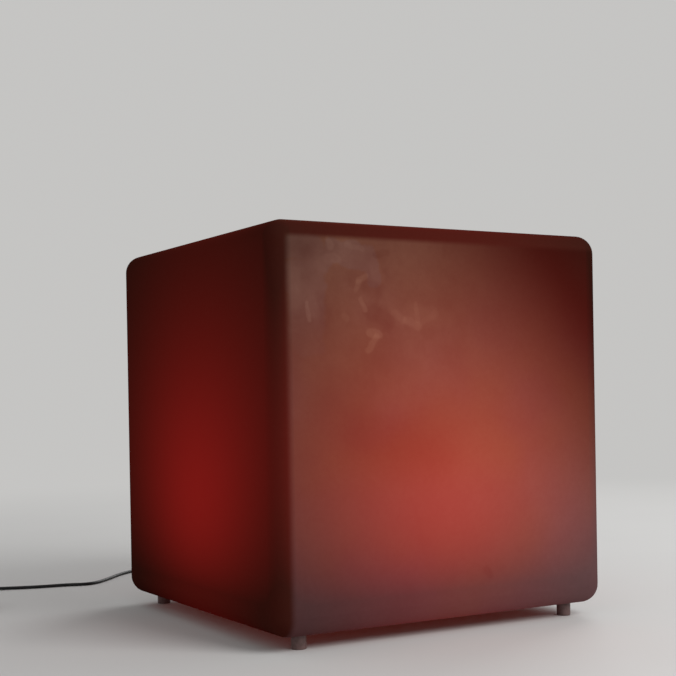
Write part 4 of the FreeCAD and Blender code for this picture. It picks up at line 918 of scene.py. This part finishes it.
# %% Strap
THREAD = 0.0008
WAVE_LENGTH_AT_1 = 1.0 / math.pi  # roughly what Blender's wave pattern has at a scale of 1
THREAD_DARK = rgb(0.008, 0.008, 0.009)
THREAD_LIGHT = rgb(0.028, 0.028, 0.031)
WEAVE_DEPTH = 0.0002
strap = Finish("tie_strap", roughness=0.85, specular=0.2)
threads = []
for axis in ("X", "Z"):
    inputs = {"Vector": strap.place, "Scale": WAVE_LENGTH_AT_1 / THREAD}
    threads.append(strap.add("ShaderNodeTexWave", inputs, bands_direction=axis).outputs["Fac"])
weave = strap.math("MAXIMUM", *threads)
strap.colour(strap.mix(weave, THREAD_DARK, THREAD_LIGHT))
strap.bump(weave, WEAVE_DEPTH)
strap.on("lead_tie")

# %% [markdown]
# ## Floor and background
# The lamp is shown as in a studio: a plain pale floor that runs on without an edge. A wall would
# stand in the way when the object is seen from other sides, so there is none. The sky is the same
# pale tone for the camera, for mirror reflections and for what glass lets through, and the floor
# eases into that tone far from the object. Near it the floor is real paint and keeps the shadow.

# %% Background tone, seen but not lighting
PALE = rgb(0.56, 0.555, 0.545)


def seen_by_eye(nodes):
    """1 for rays from the camera, off a mirror or through glass, 0 for those that light things."""
    rays = nodes.add("ShaderNodeLightPath").outputs
    seen = nodes.math("MAXIMUM", rays["Is Camera Ray"], rays["Is Glossy Ray"])
    return nodes.math("MAXIMUM", seen, rays["Is Transmission Ray"])


print("background tone", PALE[:3])

# %% Floor
FLOOR_SIZE = 60.0
PAINT_DARKER = rgb(0.64, 0.635, 0.625)
PAINT_LIGHTER = rgb(0.67, 0.665, 0.655)
PAINT_CLOUD_SIZE = 0.25
PAINT_GRAIN_SIZE = 0.003
PAINT_RELIEF = 0.00005
FLOOR_FADE = (0.6, 2.4)
bpy.ops.mesh.primitive_plane_add(size=FLOOR_SIZE, location=(0, 0, 0))
floor = bpy.context.object
floor.name = "floor"
paint = Finish("floor_paint", roughness=0.8, specular=0.2)
paint.colour(paint.mix(paint.noise(PAINT_CLOUD_SIZE, detail=4.0), PAINT_DARKER, PAINT_LIGHTER))
paint.bump(paint.noise(PAINT_GRAIN_SIZE, detail=1.0), PAINT_RELIEF)
far = paint.smooth(paint.measure("LENGTH", paint.place), *FLOOR_FADE)
blend = paint.add("ShaderNodeMixShader", {
    0: paint.product(far, seen_by_eye(paint)),
    1: paint.shader.outputs[0],
    2: paint.add("ShaderNodeEmission", {"Color": PALE, "Strength": 1.0}).outputs[0],
})
paint.fill(paint.tree.nodes["Material Output"].inputs["Surface"], blend.outputs[0])
floor.data.materials.append(paint.material)
print("floor eases into the background between", FLOOR_FADE[0], "and", FLOOR_FADE[1], "m")

# %% World
SOFT_LIGHT_TONE = rgb(0.8, 0.8, 0.8)
SOFT_LIGHT_STRENGTH = 0.52
world = bpy.data.worlds.new("studio")
world.use_nodes = True
bpy.context.scene.world = world
studio = Nodes(world.node_tree)
soft_light = studio.tree.nodes["Background"]
studio.fill(soft_light.inputs["Color"], SOFT_LIGHT_TONE)
studio.fill(soft_light.inputs["Strength"], SOFT_LIGHT_STRENGTH)
sky = studio.add("ShaderNodeMixShader", {
    0: seen_by_eye(studio),
    1: soft_light.outputs[0],
    2: studio.add("ShaderNodeBackground", {"Color": PALE, "Strength": 1.0}).outputs[0],
})
studio.fill(studio.tree.nodes["World Output"].inputs["Surface"], sky.outputs[0])
print("soft light from all round:", SOFT_LIGHT_STRENGTH)

# %% [markdown]
# ## Lamps
# One large softbox stands at the front, high and a little to the right, so the front is evenly
# lit and the left side stays in soft shade, as in the picture. A weaker one behind, to the right,
# keeps the back and the right side readable when the object is turned.

# %% Lamps
BOX_SIDE = 1.6
AIM = Vector((0.0, 0.0, 0.2))


def softbox(name, spot, power):
    light = bpy.data.lights.new(name, "AREA")
    light.shape = "RECTANGLE"
    light.size = light.size_y = BOX_SIDE
    light.energy = power
    lamp = bpy.data.objects.new(name, light)
    lamp.location = spot
    lamp.rotation_euler = (AIM - Vector(spot)).to_track_quat("-Z", "Y").to_euler()
    bpy.context.scene.collection.objects.link(lamp)
    print(name, "at", spot, power, "W")


softbox("key", (0.9, -2.2, 1.8), power=50.0)
softbox("fill", (2.4, 1.6, 1.7), power=30.0)
bpy.context.scene.view_settings.view_transform = "Standard"

# %% [markdown]
# ## The end
# The scene is brought up to date.

# %% The end
bpy.context.view_layer.update()
